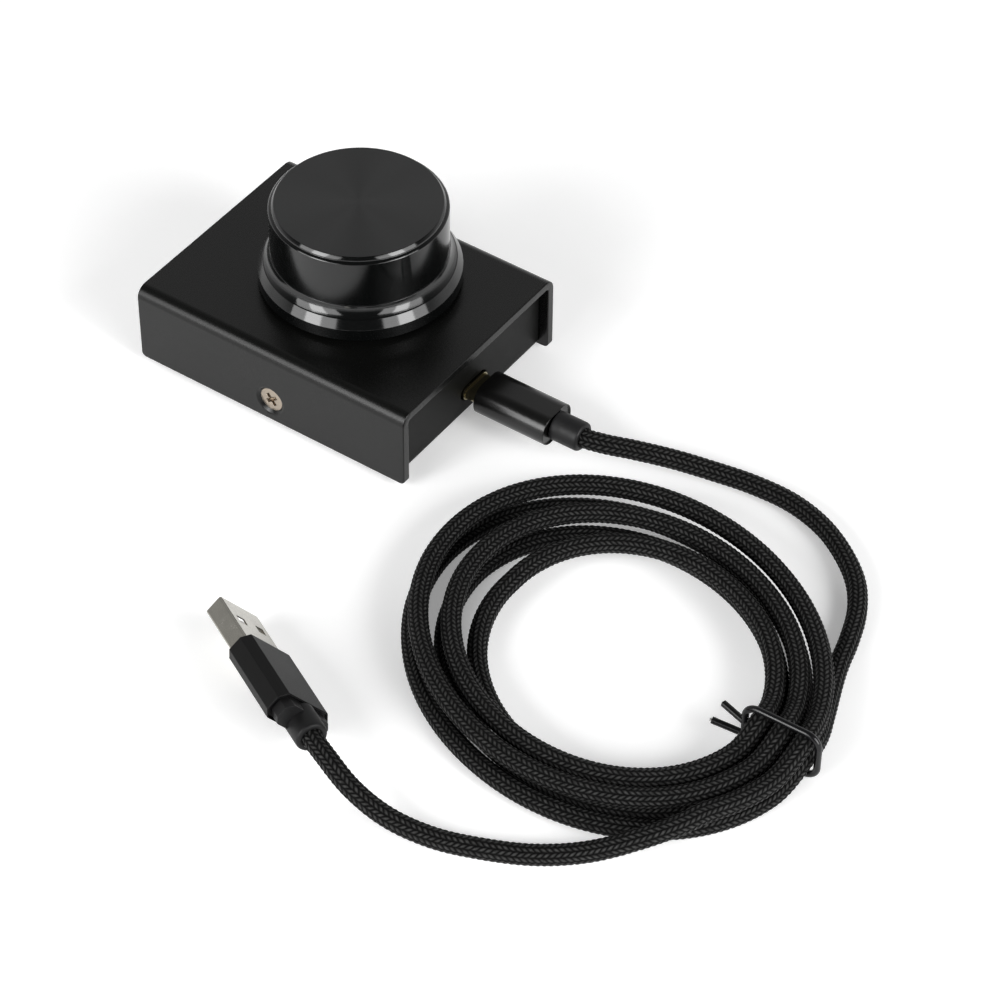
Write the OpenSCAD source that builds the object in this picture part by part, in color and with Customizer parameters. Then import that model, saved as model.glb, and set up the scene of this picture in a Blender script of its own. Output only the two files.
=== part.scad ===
// Desk volume knob: a folded sheet-metal case with one large turned knob, read by a push-button
// rotary encoder on a small circuit board, and a detachable braided lead coiled on the desk.
// Origin: middle of the case's footprint, on the desk under the rubber feet. +Z is up, the cord
// socket is in the +X end.

/* [Case] */
// Length of the cover along X
case_length = 72; // [66:0.5:90]
// Width of the cover along Y
case_width = 56; // [52:0.5:70]
// Height of the cover, from its lower edge to its top face
case_height = 19.4; // [19.2:0.1:19.8]
// Thickness of the cover's sheet
cover_sheet = 2; // [1.8:0.1:2.2]
// Outer radius of the cover's two long bends
bend_radius = 2.8; // [2.4:0.1:3.6]
// Radius of the lower corners of the cover's two flanges
flange_corner_radius = 1.2; // [0.5:0.1:3]
// Thickness of the chassis sheet
chassis_sheet = 1.5; // [1:0.1:1.8]
// Distance from the cover's ends in to the chassis end walls
end_recess = 2.4; // [1:0.1:4]
// Clearance between the chassis and the cover's inner faces
case_gap = 0.2; // [0.1:0.05:0.4]
// Length of each side tab of the chassis
tab_length = 24; // [14:1:40]
// Height of each side tab above the chassis floor
tab_height = 8.5; // [8:0.5:12]
// Length of the threaded collar behind each side tab
collar_length = 1.5; // [0.5:0.1:2]

/* [Feet] */
// Height of the rubber feet
foot_height = 1.5; // [1:0.1:2.5]
// Diameter of the rubber feet
foot_diameter = 8; // [6:0.5:10]
// Distance from a foot's centre to the nearest cover edge along X
foot_inset_x = 9; // [8:0.5:14]
// Distance from a foot's centre to the nearest cover edge along Y
foot_inset_y = 8; // [7:0.5:12]

/* [Screws] */
// Height of the cover screws above the cover's lower edge
cover_screw_height = 5.4; // [4.5:0.1:6.5]
// Diameter of the cover screws' heads
screw_head_diameter = 5.8; // [5.4:0.1:6]
// Thread diameter of the cover screws
screw_thread_diameter = 3; // [2.5:0.5:3]
// Length of the cover screws with their heads
screw_length = 6; // [5:0.5:7]
// Outer diameter of the countersinks in the cover
countersink_diameter = 7.1; // [6.8:0.1:7.1]
// Clearance of threads and screw seats
thread_gap = 0.05; // [0.02:0.01:0.1]
// Width of the arms of the cross recesses
cross_arm_width = 0.9; // [0.6:0.1:1]

/* [Knob] */
// Diameter of the knob's skirt
knob_diameter = 45; // [40:0.5:50]
// Diameter of the knob's grip
grip_diameter = 39.3; // [36:0.1:40]
// Height of the knob
knob_height = 20.4; // [19:0.1:24]
// Gap between the knob's skirt and the top of the cover
knob_lift = 0.7; // [0.6:0.05:1.2]
// Place of the knob's axis along X
knob_x = 1.2; // [-3:0.1:3]
// Place of the knob's axis along Y
knob_y = 3.9; // [0:0.1:4.5]
// Chamfer of the knob's top edge
knob_top_chamfer = 1.1; // [0.5:0.1:1.5]
// Height of the straight rim at the foot of the skirt
skirt_rim_height = 2.8; // [2:0.1:4]
// Height of the sloping band above the rim
skirt_band_height = 2.1; // [1:0.1:3]
// Width of the sloping band, measured outwards
skirt_band_width = 1.3; // [0.8:0.1:1.5]
// Height of the hollow fillet between the band and the grip
skirt_fillet_height = 2.2; // [1.5:0.1:3]
// Depth of the thin groove above the band
skirt_groove = 0.25; // [0.1:0.05:0.4]
// Diameter of the recess under the knob
knob_recess_diameter = 34; // [26:1:36]
// Depth of the recess under the knob
knob_recess_depth = 2.4; // [1:0.1:4]
// Diameter of the hub round the shaft
hub_diameter = 12; // [10:0.5:16]
// How far the knob is pushed down
press_travel = 0.5; // [0.2:0.05:0.5]
// Length of the knob's set screw
set_screw_length = 6; // [4:0.5:8]
// Height of the set screw above the knob's foot
set_screw_height = 8.6; // [8.2:0.1:9]

/* [Encoder] */
// Width of the encoder's body along X and Y
encoder_width = 11.8; // [11:0.1:13]
// Height of the encoder's plastic base
encoder_base_height = 5.3; // [5.3:0.1:5.8]
// Thickness of the encoder's metal top plate
encoder_plate = 1.2; // [1:0.1:1.5]
// Diameter of the threaded neck round the shaft
neck_diameter = 7; // [7:0.1:8]
// Length of the threaded neck
neck_length = 7; // [5:0.5:8]
// Diameter of the encoder's shaft
shaft_diameter = 6; // [5:0.5:6]
// Height of the shaft's end above the encoder's top plate
shaft_reach = 20; // [18:0.5:21]
// Distance from the shaft's axis to its flat
shaft_flat = 1.5; // [1.2:0.1:2]
// Length of the shaft's flat, from its upper end
flat_length = 10; // [8:0.5:11]
// Running clearance of the shaft and plunger, on the radius
running_gap = 0.05; // [0.02:0.01:0.08]
// Diameter of the round hole in the cover over the encoder
cover_hole_diameter = 10; // [8.5:0.5:14]
// Number of clicks in one turn
click_count = 20; // [12:4:24]

/* [Circuit board] */
// Length of the circuit board along X
board_length = 50; // [46:1:54]
// Width of the circuit board along Y
board_width = 34; // [30:1:36]
// Thickness of the circuit board
board_thickness = 1.6; // [1.2:0.2:1.6]
// Gap between the circuit board and the socket's end wall
board_wall_gap = 0.5; // [0.3:0.1:1]
// Free height between the chassis floor and the circuit board
standoff_height = 1.5; // [1.5:0.1:2]
// Distance from the board's edges to its screws
board_screw_inset = 3.2; // [3:0.1:4]

/* [Cord socket and plug] */
// Outer width of the socket's metal shell
socket_width = 8.94; // [8.94:0.01:9.2]
// Outer height of the socket's metal shell
socket_height = 3.26; // [3.26:0.01:3.4]
// Depth of the socket
socket_depth = 7.35; // [7.3:0.05:8]
// How far the socket stands out of the end wall
socket_proud = 0.5; // [0.2:0.1:1]
// Place of the socket along Y
socket_y = 1.1; // [-4:0.1:4]
// Thickness of the shells of the socket and both plugs
shell_sheet = 0.3; // [0.25:0.05:0.35]
// Width of the plug's metal tip
tip_width = 8.25; // [8.2:0.01:8.25]
// Height of the plug's metal tip
tip_height = 2.4; // [2.3:0.01:2.5]
// How deep the plug's tip goes into the socket
tip_depth = 6; // [5:0.1:6]
// Length of metal tip that shows outside the socket
tip_showing = 3.1; // [1:0.1:4]
// Width of the plug's moulded body
plug_width = 10.8; // [10:0.1:12]
// Height of the plug's moulded body
plug_height = 7.4; // [6:0.1:8]
// Corner radius of the plug's moulded body
plug_corner = 3.2; // [2:0.1:3.2]
// Length of the plug's moulded body
plug_length = 18.3; // [15:0.1:22]
// Diameter of the short collar behind the plug
plug_collar_diameter = 6.7; // [5.5:0.1:7]
// Length of the short collar behind the plug
plug_collar_length = 7; // [5:0.5:7]

/* [Flat plug] */
// Width of the flat plug's metal shell
flat_shell_width = 12; // [11.9:0.1:12.1]
// Thickness of the flat plug's metal shell
flat_shell_height = 4.5; // [4.4:0.1:4.6]
// Length of flat plug shell that shows
flat_shell_length = 14.2; // [12.5:0.1:14.5]
// Width of the flat plug's grip
flat_grip_width = 15.3; // [15:0.1:16]
// Thickness of the flat plug's grip
flat_grip_height = 6.8; // [6.6:0.1:8]
// Chamfer along the flat plug's grip
flat_grip_chamfer = 1.7; // [1:0.1:2]
// Length of the flat plug's grip
flat_grip_length = 19.6; // [18:0.1:24]
// Length of the taper behind the flat plug's grip
flat_taper_length = 7.2; // [6:0.1:8]

/* [Cord] */
// Diameter of the braided cord
cord_diameter = 4.4; // [4:0.1:4.4]
// Long half width of the oval coil at its outer end, at the cord's middle
coil_outer_long = 50.3; // [50:0.1:52]
// Short half width of the coil at its outer end
coil_outer_short = 41.2; // [41.2:0.1:43]
// Long half width of the coil at its inner end
coil_inner_long = 32; // [30:0.1:32]
// Short half width of the coil at its inner end
coil_inner_short = 27.6; // [26:0.1:27.6]
// Height from one layer of the coil to the next
coil_layer_step = 4.85; // [4.85:0.01:5.2]
// How far the inner turns lie towards the wire tie
coil_shift = 5; // [4:0.1:5]
// Diameter of the plastic-covered tie wire
tie_diameter = 1.5; // [1.2:0.1:1.6]
// Diameter of the tie's steel core
tie_core_diameter = 0.7; // [0.5:0.1:0.8]

/* [Hidden] */
$fn = 96;
small_fn = 48;
eps = 0.01;

// Heights, counted from the desk
case_z = foot_height;
cover_top = case_z + case_height;
cover_under = cover_top - cover_sheet;
floor_top = case_z + chassis_sheet;
board_z = floor_top + standoff_height;
board_top = board_z + board_thickness;
socket_z = board_top + socket_height / 2;
encoder_top = board_top + encoder_base_height + encoder_plate;
knob_z = cover_top + knob_lift;
shaft_top = encoder_top + shaft_reach;
foot_chamfer = 0.4;

// Chassis
chassis_length = case_length - 2 * end_recess;
chassis_width = case_width - 2 * cover_sheet - 2 * case_gap;
wall_inner_x = chassis_length / 2 - chassis_sheet;
wall_height = cover_under - case_gap - case_z;
chassis_bend = 1.8;
cover_screw_z = case_z + cover_screw_height;
tab_outer_y = chassis_width / 2;
screw_r = screw_thread_diameter / 2;
cover_through_r = screw_r + 0.2;
countersink_r = countersink_diameter / 2;
screw_head_r = screw_head_diameter / 2;
screw_sink = countersink_r - screw_head_r - thread_gap;
port_gap = 0.32;

// Circuit board and what stands on it
board_x1 = wall_inner_x - board_wall_gap;
board_x0 = board_x1 - board_length;
board_y0 = knob_y - board_width / 2;
board_corner = 2;
board_screw_r = 1.2;
board_hole_r = 1.4;
board_screw_head_r = 2.2;
board_screw_head_height = 1.5;
board_screw_length = 4;
standoff_r = 2.4;
standoff_spigot_r = 1.9;
seat_gap = 0.02;
board_screw_places = [for (x = [board_x0 + board_screw_inset, board_x1 - board_screw_inset])
                      for (y = [board_y0 + board_screw_inset, board_y0 + board_width - board_screw_inset])
                      [x, y]];
pin_pitch = 2.5;
pin_width = 0.7;
pin_sheet = 0.3;
pin_drop = 1.1;
pin_hole_r = 0.55;
pin_top = 2.2;
pin_y = encoder_width / 2 + pin_sheet / 2;
terminal_places = concat([for (i = [-1:1]) [i * pin_pitch, -pin_y]],
                         [for (i = [-1, 1]) [i * pin_pitch, pin_y]]);
lug_width = 2;
lug_sheet = 0.3;
lug_slot_gap = 0.2;
controller_size = [5, 5, 0.9];
controller_dot_inset = 0.7;
crystal_size = [3.2, 2.5, 0.8];
regulator_size = [2.9, 1.6, 1.1];
chip_part_size = [1.6, 0.8, 0.5];

// Encoder, counted up from the board
base_floor = 0.8;
dome_r = 2.5;
dome_sheet = 0.1;
dome_height = press_travel + dome_sheet;
dome_chamber_r = 2.7;
dome_chamber_height = 0.7;
plunger_r = 1.75;
guide_height = 0.8;
rotor_seat_gap = 0.2;
rotor_r = 5;
rotor_height = 1.9;
rotor_room = 0.2;
key_r = 2.5;
key_flat = 1.8;
shaft_collar_r = 3.6;
shaft_collar_height = 0.3;
click_groove_r = 0.45;
click_tooth_r = 0.4;
click_groove_rise = 0.25;
spring_inner_r = 4;
spring_outer_r = 5.1;
spring_sheet = 0.2;
dome_z = board_top + base_floor;
plunger_z = dome_z + dome_height;
guide_z = dome_z + dome_chamber_height;
rotor_chamber_z = guide_z + guide_height;
rotor_z = rotor_chamber_z + rotor_seat_gap;
rotor_top = rotor_z + rotor_height;
plate_z = board_top + encoder_base_height;
shaft_z = rotor_z + 0.4;
collar_top = plate_z - running_gap;
shaft_r = shaft_diameter / 2;
click_tooth_z = rotor_top + click_tooth_r + running_gap;

// Knob profile
knob_r = knob_diameter / 2;
grip_r = grip_diameter / 2;
band_r = knob_r - skirt_band_width;
rim_top = skirt_rim_height;
band_top = rim_top + skirt_band_height;
fillet_top = band_top + skirt_groove + skirt_fillet_height;
rim_chamfer = 0.3;
shaft_head_room = 0.6;
knob_fit = 0.02;
hub_setback = 0.4;
hex_width = 1.7;
hex_depth = 2;

// Cord socket and plug, along X
wall_outer_x = chassis_length / 2;
socket_x1 = wall_outer_x + socket_proud;
socket_x0 = socket_x1 - socket_depth;
socket_inner_w = socket_width - 2 * shell_sheet;
socket_inner_h = socket_height - 2 * shell_sheet;
tongue_width = 6.69;
tongue_sheet = 0.58;
tongue_setback = 0.5;
contact_sheet = 0.06;
contact_count = 8;
contact_pitch = 0.5;
contact_width = 0.25;
tongue_root = 0.85;
tip_x0 = socket_x1 - tip_depth;
plug_x0 = socket_x1 + tip_showing;
tip_grip = 2;
tip_slot_width = 6.8;
tip_slot_height = 0.8;
tip_slot_wall = 0.2;
tip_core_setback = 0.3;
tongue_end_gap = 0.4;
plug_x1 = plug_x0 + plug_length;
lead_x0 = plug_x1 + plug_collar_length;
plug_edge = 0.8;
plug_collar_chamfer = 0.4;

// The parts soldered on the board stand round the middle of the free strip between the encoder and
// the socket; the small ones are given by place and turn
chips_x = (knob_x + encoder_width / 2 + lug_sheet + socket_x0) / 2;
controller_place = [0, -1];
crystal_place = [0, 5.2];
regulator_place = [0, -9.5];
chip_part_places = [[-4.6, 0.5, 90], [-4.6, -3, 90], [4.6, 0.5, 90], [4.6, -3, 90], [0, -5.4, 0],
                    [0, 8.2, 0], [-3.6, 5.2, 90], [3.6, 5.2, 90], [-3.4, -9.5, 90], [3.4, -9.5, 90],
                    [4.6, 10.5, 0], [4.6, 12.5, 0]];

// Flat plug: the middle of its open end, and its turn, tilt and roll in degrees
flat_plug_place = [32.4, -82.7, 5.9];
flat_plug_turn = -29;
flat_plug_tilt = 4.3;
flat_plug_roll = -49.5;
flat_taper_r = 3.45;
flat_taper_step = 0.7;
flat_taper_land = 0.6;
flat_window = 2.3;
flat_window_x = 6.4;
flat_window_y = 2.9;
flat_tongue_height = 1.84;
flat_shell_corner = 0.5;
flat_tongue_setback = 0.4;
flat_tongue_side = 0.12;
flat_contact_count = 4;
flat_contact_width = 1;
flat_contact_pitch = 2.3;
flat_contact_sheet = 0.1;
flat_contact_length = 8;
flat_contact_setback = flat_tongue_setback + 1;

// Coil: turns run clockwise from the end that comes from the knob; angles are those of the oval,
// counted from its long axis
cord_r = cord_diameter / 2;
coil_start_angle = 40;
coil_end_angle = -5;
coil_turns = 5 + (coil_start_angle - coil_end_angle) / 360;
coil_rings_per_turn = 24;
coil_sides = 6;
coil_middle = [99.6, -44];
coil_lie = -25;
coil_climb = 0.25;
tie_angle = 25;
tie_hump = 15;
tie_gap = 0.3;
tie_lift = tie_diameter + tie_gap;

// Routes of the two free stretches, at the cord's middle
lead_points = [[66.4, 1.7, 7.9], [72.8, 4.7, 7.1], [80.3, 8.7, 5.4], [88.4, 12, 3.8],
               [97.4, 14.5, 2.7], [107, 14.9, 2.3], [116.2, 12.4, 2.3], [124.2, 7.7, 2.3],
               [130.6, 1.9, 2.3], [134.8, -4.7, 2.3], [137.6, -12.2, 2.3], [139.8, -20.3, 2.3]];
tail_points = [[138.9, -77.3, 6.9], [133.8, -84.8, 6], [126.6, -91.4, 3.7], [118.2, -97, 2.4],
               [108.6, -101.8, 2.3], [98.6, -105.2, 2.4], [89, -107, 4], [80.5, -106.8, 6.7],
               [73.4, -104.8, 8.7]];
tube_sides = 10;

// ---- Shapes that repeat ----

// A flat oval lying along X, w wide and h high
module oval(w, h) {
    square([w - h, h], center = true);
    for (s = [-1, 1]) translate([s * (w - h) / 2, 0]) circle(d = h, $fn = small_fn);
}

// A rectangle w by h with round corners, its middle at the origin
module round_rect(w, h, r) {
    square([w - 2 * r, h], center = true);
    square([w, h - 2 * r], center = true);
    for (sx = [-1, 1], sy = [-1, 1])
        translate([sx * (w / 2 - r), sy * (h / 2 - r)]) circle(r, $fn = small_fn);
}

// A rectangle that stands on the X axis, with its two upper corners round
module round_top(w, h, r) {
    translate([-w / 2, 0]) square([w, h - r]);
    translate([-w / 2 + r, 0]) square([w - 2 * r, h]);
    for (s = [-1, 1]) translate([s * (w / 2 - r), h - r]) circle(r, $fn = small_fn);
}

// Extrudes a YZ outline along X from x0 to x1
module along_x(x0, x1) {
    translate([x0, 0, 0]) rotate([90, 0, 90]) linear_extrude(x1 - x0) children();
}

// Extrudes an XZ outline along Y, length w, centred
module along_y(w) {
    rotate([90, 0, 0]) linear_extrude(w, center = true) children();
}

// A box from one corner to the other
module box(a, b) {
    translate(a) cube(b - a);
}

// Two crossed slots that open upwards at z = 0
module cross_recess(reach, depth) {
    for (a = [0, 90]) rotate([0, 0, a])
        translate([-reach, -cross_arm_width / 2, -depth]) cube([2 * reach, cross_arm_width, depth + 1]);
}

// A round bar with a flat along its +Y side
module flatted_bar(r, flat, h) {
    intersection() {
        cylinder(r = r, h = h, $fn = small_fn);
        translate([-r - 1, -r - 1, -1]) cube([2 * r + 2, r + 1 + flat, h + 2]);
    }
}

// ---- Case ----

module cover() {
    color([0.17, 0.17, 0.165]) difference() {
        intersection() {
            along_x(-case_length / 2, case_length / 2) translate([0, case_z]) difference() {
                round_top(case_width, case_height, bend_radius);
                translate([0, -eps]) round_top(case_width - 2 * cover_sheet,
                    case_height - cover_sheet + eps, bend_radius - cover_sheet);
            }
            along_y(case_width + 1) translate([0, cover_top]) mirror([0, 1])
                round_top(case_length, case_height, flange_corner_radius);
        }
        translate([knob_x, knob_y, cover_under - 1])
            cylinder(d = cover_hole_diameter, h = cover_sheet + 2);
        for (s = [0, 180]) rotate([0, 0, s]) translate([0, -case_width / 2, cover_screw_z]) {
            rotate([90, 0, 0]) translate([0, 0, -cover_sheet - 1])
                cylinder(r = cover_through_r, h = cover_sheet + 2, $fn = small_fn);
            rotate([-90, 0, 0]) translate([0, 0, -1])
                cylinder(r1 = countersink_r + 1, r2 = cover_through_r,
                         h = countersink_r + 1 - cover_through_r, $fn = small_fn);
        }
    }
}

module chassis() {
    color([0.16, 0.16, 0.155]) difference() {
        union() {
            intersection() {
                along_y(chassis_width) translate([0, case_z + wall_height]) mirror([0, 1]) difference() {
                    round_top(chassis_length, wall_height, chassis_bend);
                    translate([0, -eps]) round_top(chassis_length - 2 * chassis_sheet,
                        wall_height - chassis_sheet + eps, chassis_bend - chassis_sheet);
                }
                along_x(-case_length / 2, case_length / 2) translate([0, case_z])
                    round_top(chassis_width, wall_height, bend_radius - cover_sheet);
            }
            for (s = [0, 180]) rotate([0, 0, s]) {
                box([-tab_length / 2, -tab_outer_y, floor_top - eps],
                    [tab_length / 2, -tab_outer_y + chassis_sheet, floor_top + tab_height]);
                translate([0, -tab_outer_y + chassis_sheet - eps, cover_screw_z]) rotate([-90, 0, 0])
                    cylinder(r = screw_r + 1.1, h = collar_length + eps, $fn = small_fn);
            }
        }
        along_x(wall_inner_x - 1, wall_outer_x + 1) translate([socket_y, socket_z])
            oval(socket_width + 2 * port_gap, socket_height + 2 * port_gap);
        for (s = [0, 180]) rotate([0, 0, s]) translate([0, -tab_outer_y - 1, cover_screw_z])
            rotate([-90, 0, 0]) cylinder(r = screw_r + thread_gap,
                h = chassis_sheet + collar_length + 2, $fn = small_fn);
        for (p = board_screw_places) translate([p[0], p[1], case_z - 1])
            cylinder(r = standoff_spigot_r + seat_gap, h = chassis_sheet + 2, $fn = small_fn);
    }
}

// A countersunk cross-head screw that points down, its flat face at z = 0
module countersunk_screw() {
    difference() {
        union() {
            translate([0, 0, -(screw_head_r - screw_r)])
                cylinder(r1 = screw_r, r2 = screw_head_r, h = screw_head_r - screw_r, $fn = small_fn);
            translate([0, 0, -screw_length]) cylinder(r = screw_r, h = screw_length, $fn = small_fn);
        }
        cross_recess(0.58 * screw_head_r, 1.1);
    }
}

module cover_screws() {
    color([0.8, 0.77, 0.7]) for (s = [0, 180]) rotate([0, 0, s])
        translate([0, -case_width / 2 + screw_sink, cover_screw_z])
            rotate([90, 0, 0]) rotate([0, 0, 38]) countersunk_screw();
}

module rubber_feet() {
    r = foot_diameter / 2;
    color([0.06, 0.06, 0.06])
        for (x = [-1, 1] * (case_length / 2 - foot_inset_x), y = [-1, 1] * (case_width / 2 - foot_inset_y))
            translate([x, y, 0]) rotate_extrude($fn = small_fn)
                polygon([[0, 0], [r - foot_chamfer, 0], [r, foot_chamfer], [r, foot_height],
                         [0, foot_height]]);
}

// ---- Circuit board ----

module circuit_board() {
    color([0.03, 0.2, 0.1]) difference() {
        translate([(board_x0 + board_x1) / 2, board_y0 + board_width / 2, board_z])
            linear_extrude(board_thickness) round_rect(board_length, board_width, board_corner);
        for (p = board_screw_places) translate([p[0], p[1], board_z - 1])
            cylinder(r = board_hole_r, h = board_thickness + 2, $fn = small_fn);
        for (p = terminal_places) translate([knob_x + p[0], knob_y + p[1], board_z - 1])
            cylinder(r = pin_hole_r, h = board_thickness + 2, $fn = 24);
        for (s = [-1, 1]) translate([knob_x + s * (encoder_width + lug_sheet) / 2, knob_y, board_z])
            cube([lug_sheet + 2 * lug_slot_gap, lug_width + 2 * lug_slot_gap, 3 * board_thickness],
                 center = true);
    }
}

module board_standoffs() {
    color([0.75, 0.75, 0.72]) for (p = board_screw_places) translate([p[0], p[1], case_z]) difference() {
        union() {
            cylinder(r = standoff_spigot_r, h = chassis_sheet + eps, $fn = small_fn);
            translate([0, 0, chassis_sheet]) cylinder(r = standoff_r, h = standoff_height, $fn = small_fn);
        }
        translate([0, 0, -1]) cylinder(r = board_screw_r + thread_gap,
            h = chassis_sheet + standoff_height + 2, $fn = small_fn);
    }
}

module board_screws() {
    color([0.7, 0.7, 0.68]) for (p = board_screw_places) translate([p[0], p[1], board_top]) difference() {
        union() {
            rotate_extrude($fn = small_fn) polygon([[0, 0], [board_screw_head_r, 0],
                [board_screw_head_r, 0.8], [board_screw_head_r - 0.5, board_screw_head_height],
                [0, board_screw_head_height]]);
            translate([0, 0, -board_screw_length]) cylinder(r = board_screw_r,
                h = board_screw_length + eps, $fn = small_fn);
        }
        translate([0, 0, board_screw_head_height]) cross_recess(1.3, 0.9);
    }
}

// A part of the given size soldered on the board, its place counted from the middle of the chips
module on_board(place, size, turn = 0) {
    translate([chips_x + place[0], knob_y + place[1], board_top]) rotate([0, 0, turn])
        translate([-size[0] / 2, -size[1] / 2, 0]) cube(size);
}

module controller_chip() {
    color([0.05, 0.05, 0.05]) difference() {
        on_board(controller_place, controller_size);
        translate([chips_x + controller_place[0] - controller_size[0] / 2 + controller_dot_inset,
                   knob_y + controller_place[1] + controller_size[1] / 2 - controller_dot_inset,
                   board_top + controller_size[2] - 0.1]) cylinder(r = 0.3, h = 1, $fn = 24);
    }
}

module clock_crystal() {
    color([0.75, 0.75, 0.75]) on_board(crystal_place, crystal_size);
}

module voltage_regulator() {
    color([0.06, 0.06, 0.06]) on_board(regulator_place, regulator_size);
}

module small_chip_parts() {
    color([0.55, 0.42, 0.28]) for (p = chip_part_places) on_board(p, chip_part_size, p[2]);
}

// ---- Cord socket ----

module socket_shell() {
    color([0.75, 0.75, 0.74]) difference() {
        along_x(socket_x0, socket_x1) translate([socket_y, socket_z]) oval(socket_width, socket_height);
        along_x(socket_x0 + shell_sheet, socket_x1 + 1) translate([socket_y, socket_z])
            oval(socket_inner_w, socket_inner_h);
    }
}

module socket_tongue() {
    color([0.04, 0.04, 0.04]) {
        along_x(socket_x0 + shell_sheet, socket_x0 + tongue_root + shell_sheet)
            translate([socket_y, socket_z])
                oval(socket_inner_w - 2 * seat_gap, socket_inner_h - 2 * seat_gap);
        box([socket_x0 + tongue_root, socket_y - tongue_width / 2, socket_z - tongue_sheet / 2],
            [socket_x1 - tongue_setback, socket_y + tongue_width / 2, socket_z + tongue_sheet / 2]);
    }
}

module socket_contacts() {
    color([0.85, 0.65, 0.25]) for (side = [0, 1], i = [0:contact_count - 1]) {
        y = socket_y + (i - (contact_count - 1) / 2) * contact_pitch;
        z = socket_z + (side == 0 ? tongue_sheet / 2 : -tongue_sheet / 2 - contact_sheet);
        box([socket_x0 + tongue_root + shell_sheet + 0.05, y - contact_width / 2, z],
            [socket_x1 - tongue_setback - 0.6, y + contact_width / 2, z + contact_sheet]);
    }
}

// ---- Encoder ----

module encoder_base() {
    h = encoder_base_height;
    color([0.08, 0.08, 0.08]) translate([knob_x, knob_y, 0]) difference() {
        translate([-encoder_width / 2, -encoder_width / 2, board_top])
            cube([encoder_width, encoder_width, h]);
        translate([0, 0, rotor_chamber_z]) cylinder(r = rotor_r + rotor_room, h = h, $fn = small_fn);
        translate([0, 0, guide_z - eps]) cylinder(r = plunger_r + running_gap, h = guide_height + 1,
            $fn = small_fn);
        translate([0, 0, dome_z]) cylinder(r = dome_chamber_r, h = dome_chamber_height, $fn = small_fn);
    }
}

module encoder_frame() {
    half = encoder_width / 2;
    color([0.72, 0.72, 0.7]) translate([knob_x, knob_y, 0]) difference() {
        union() {
            box([-half, -half, plate_z], [half, half, encoder_top]);
            translate([0, 0, plate_z]) cylinder(d = neck_diameter, h = encoder_plate + neck_length,
                $fn = small_fn);
            for (s = [0, 180]) rotate([0, 0, s])
                box([half, -lug_width / 2, board_z - pin_drop],
                    [half + lug_sheet, lug_width / 2, encoder_top]);
        }
        translate([0, 0, plate_z - 1]) cylinder(r = shaft_r + running_gap,
            h = encoder_plate + neck_length + 2, $fn = small_fn);
    }
}

module encoder_terminals() {
    color([0.8, 0.8, 0.78]) for (p = terminal_places) translate([knob_x + p[0], knob_y + p[1], 0])
        box([-pin_width / 2, -pin_sheet / 2, board_z - pin_drop],
            [pin_width / 2, pin_sheet / 2, board_top + pin_top]);
}

module click_rotor() {
    color([0.85, 0.85, 0.82]) translate([knob_x, knob_y, rotor_z]) difference() {
        cylinder(r = rotor_r, h = rotor_height, $fn = small_fn);
        translate([0, 0, -1]) flatted_bar(key_r + running_gap, key_flat + running_gap, rotor_height + 2);
        for (i = [0:click_count - 1]) rotate([0, 0, i * 360 / click_count])
            translate([spring_inner_r - 0.2, 0, rotor_height + click_groove_rise]) rotate([0, 90, 0])
                cylinder(r = click_groove_r, h = rotor_r, $fn = 24);
    }
}

module click_spring() {
    color([0.75, 0.72, 0.6]) translate([knob_x, knob_y, 0]) {
        translate([0, 0, plate_z - spring_sheet - seat_gap]) linear_extrude(spring_sheet) difference() {
            circle(spring_outer_r, $fn = small_fn);
            circle(spring_inner_r, $fn = small_fn);
        }
        for (a = [0, 180]) rotate([0, 0, a]) {
            translate([spring_inner_r, 0, click_tooth_z]) rotate([0, 90, 0])
                cylinder(r = click_tooth_r, h = rotor_r - spring_inner_r, $fn = 24);
            box([spring_inner_r, -0.2, click_tooth_z],
                [rotor_r, 0.2, plate_z - seat_gap - spring_sheet / 2]);
        }
    }
}

module switch_dome() {
    sphere_r = (dome_r * dome_r + dome_height * dome_height) / (2 * dome_height);
    color([0.8, 0.8, 0.76]) translate([knob_x, knob_y, dome_z]) intersection() {
        translate([0, 0, dome_height - sphere_r]) difference() {
            sphere(sphere_r);
            sphere(sphere_r - dome_sheet);
        }
        cylinder(r = dome_r, h = dome_height + 1, $fn = small_fn);
    }
}

module switch_plunger() {
    color([0.9, 0.9, 0.86]) translate([knob_x, knob_y, plunger_z])
        cylinder(r = plunger_r, h = shaft_z - plunger_z, $fn = small_fn);
}

module encoder_shaft() {
    color([0.72, 0.72, 0.7]) translate([knob_x, knob_y, 0]) {
        translate([0, 0, shaft_z]) flatted_bar(key_r, key_flat, collar_top - shaft_z);
        translate([0, 0, collar_top - shaft_collar_height])
            cylinder(r = shaft_collar_r, h = shaft_collar_height, $fn = small_fn);
        translate([0, 0, collar_top - eps]) cylinder(r = shaft_r,
            h = shaft_top - flat_length - collar_top + 2 * eps, $fn = small_fn);
        translate([0, 0, shaft_top - flat_length]) flatted_bar(shaft_r, shaft_flat, flat_length);
    }
}

// ---- Knob ----

// Half outline of the knob, from its foot at height 0
module knob_outline() {
    fillet_r = grip_r;
    difference() {
        polygon([[0, 0], [knob_r - rim_chamfer, 0], [knob_r, rim_chamfer], [knob_r, rim_top],
                 [band_r, band_top], [band_r - skirt_groove, band_top],
                 [band_r - skirt_groove, fillet_top], [fillet_r, fillet_top],
                 [fillet_r, knob_height - knob_top_chamfer],
                 [fillet_r - knob_top_chamfer, knob_height], [0, knob_height]]);
        translate([fillet_r + skirt_fillet_height, band_top + skirt_groove + skirt_fillet_height])
            circle(skirt_fillet_height, $fn = small_fn);
        translate([band_r - skirt_groove, band_top + skirt_groove]) square(skirt_fillet_height);
    }
}

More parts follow.
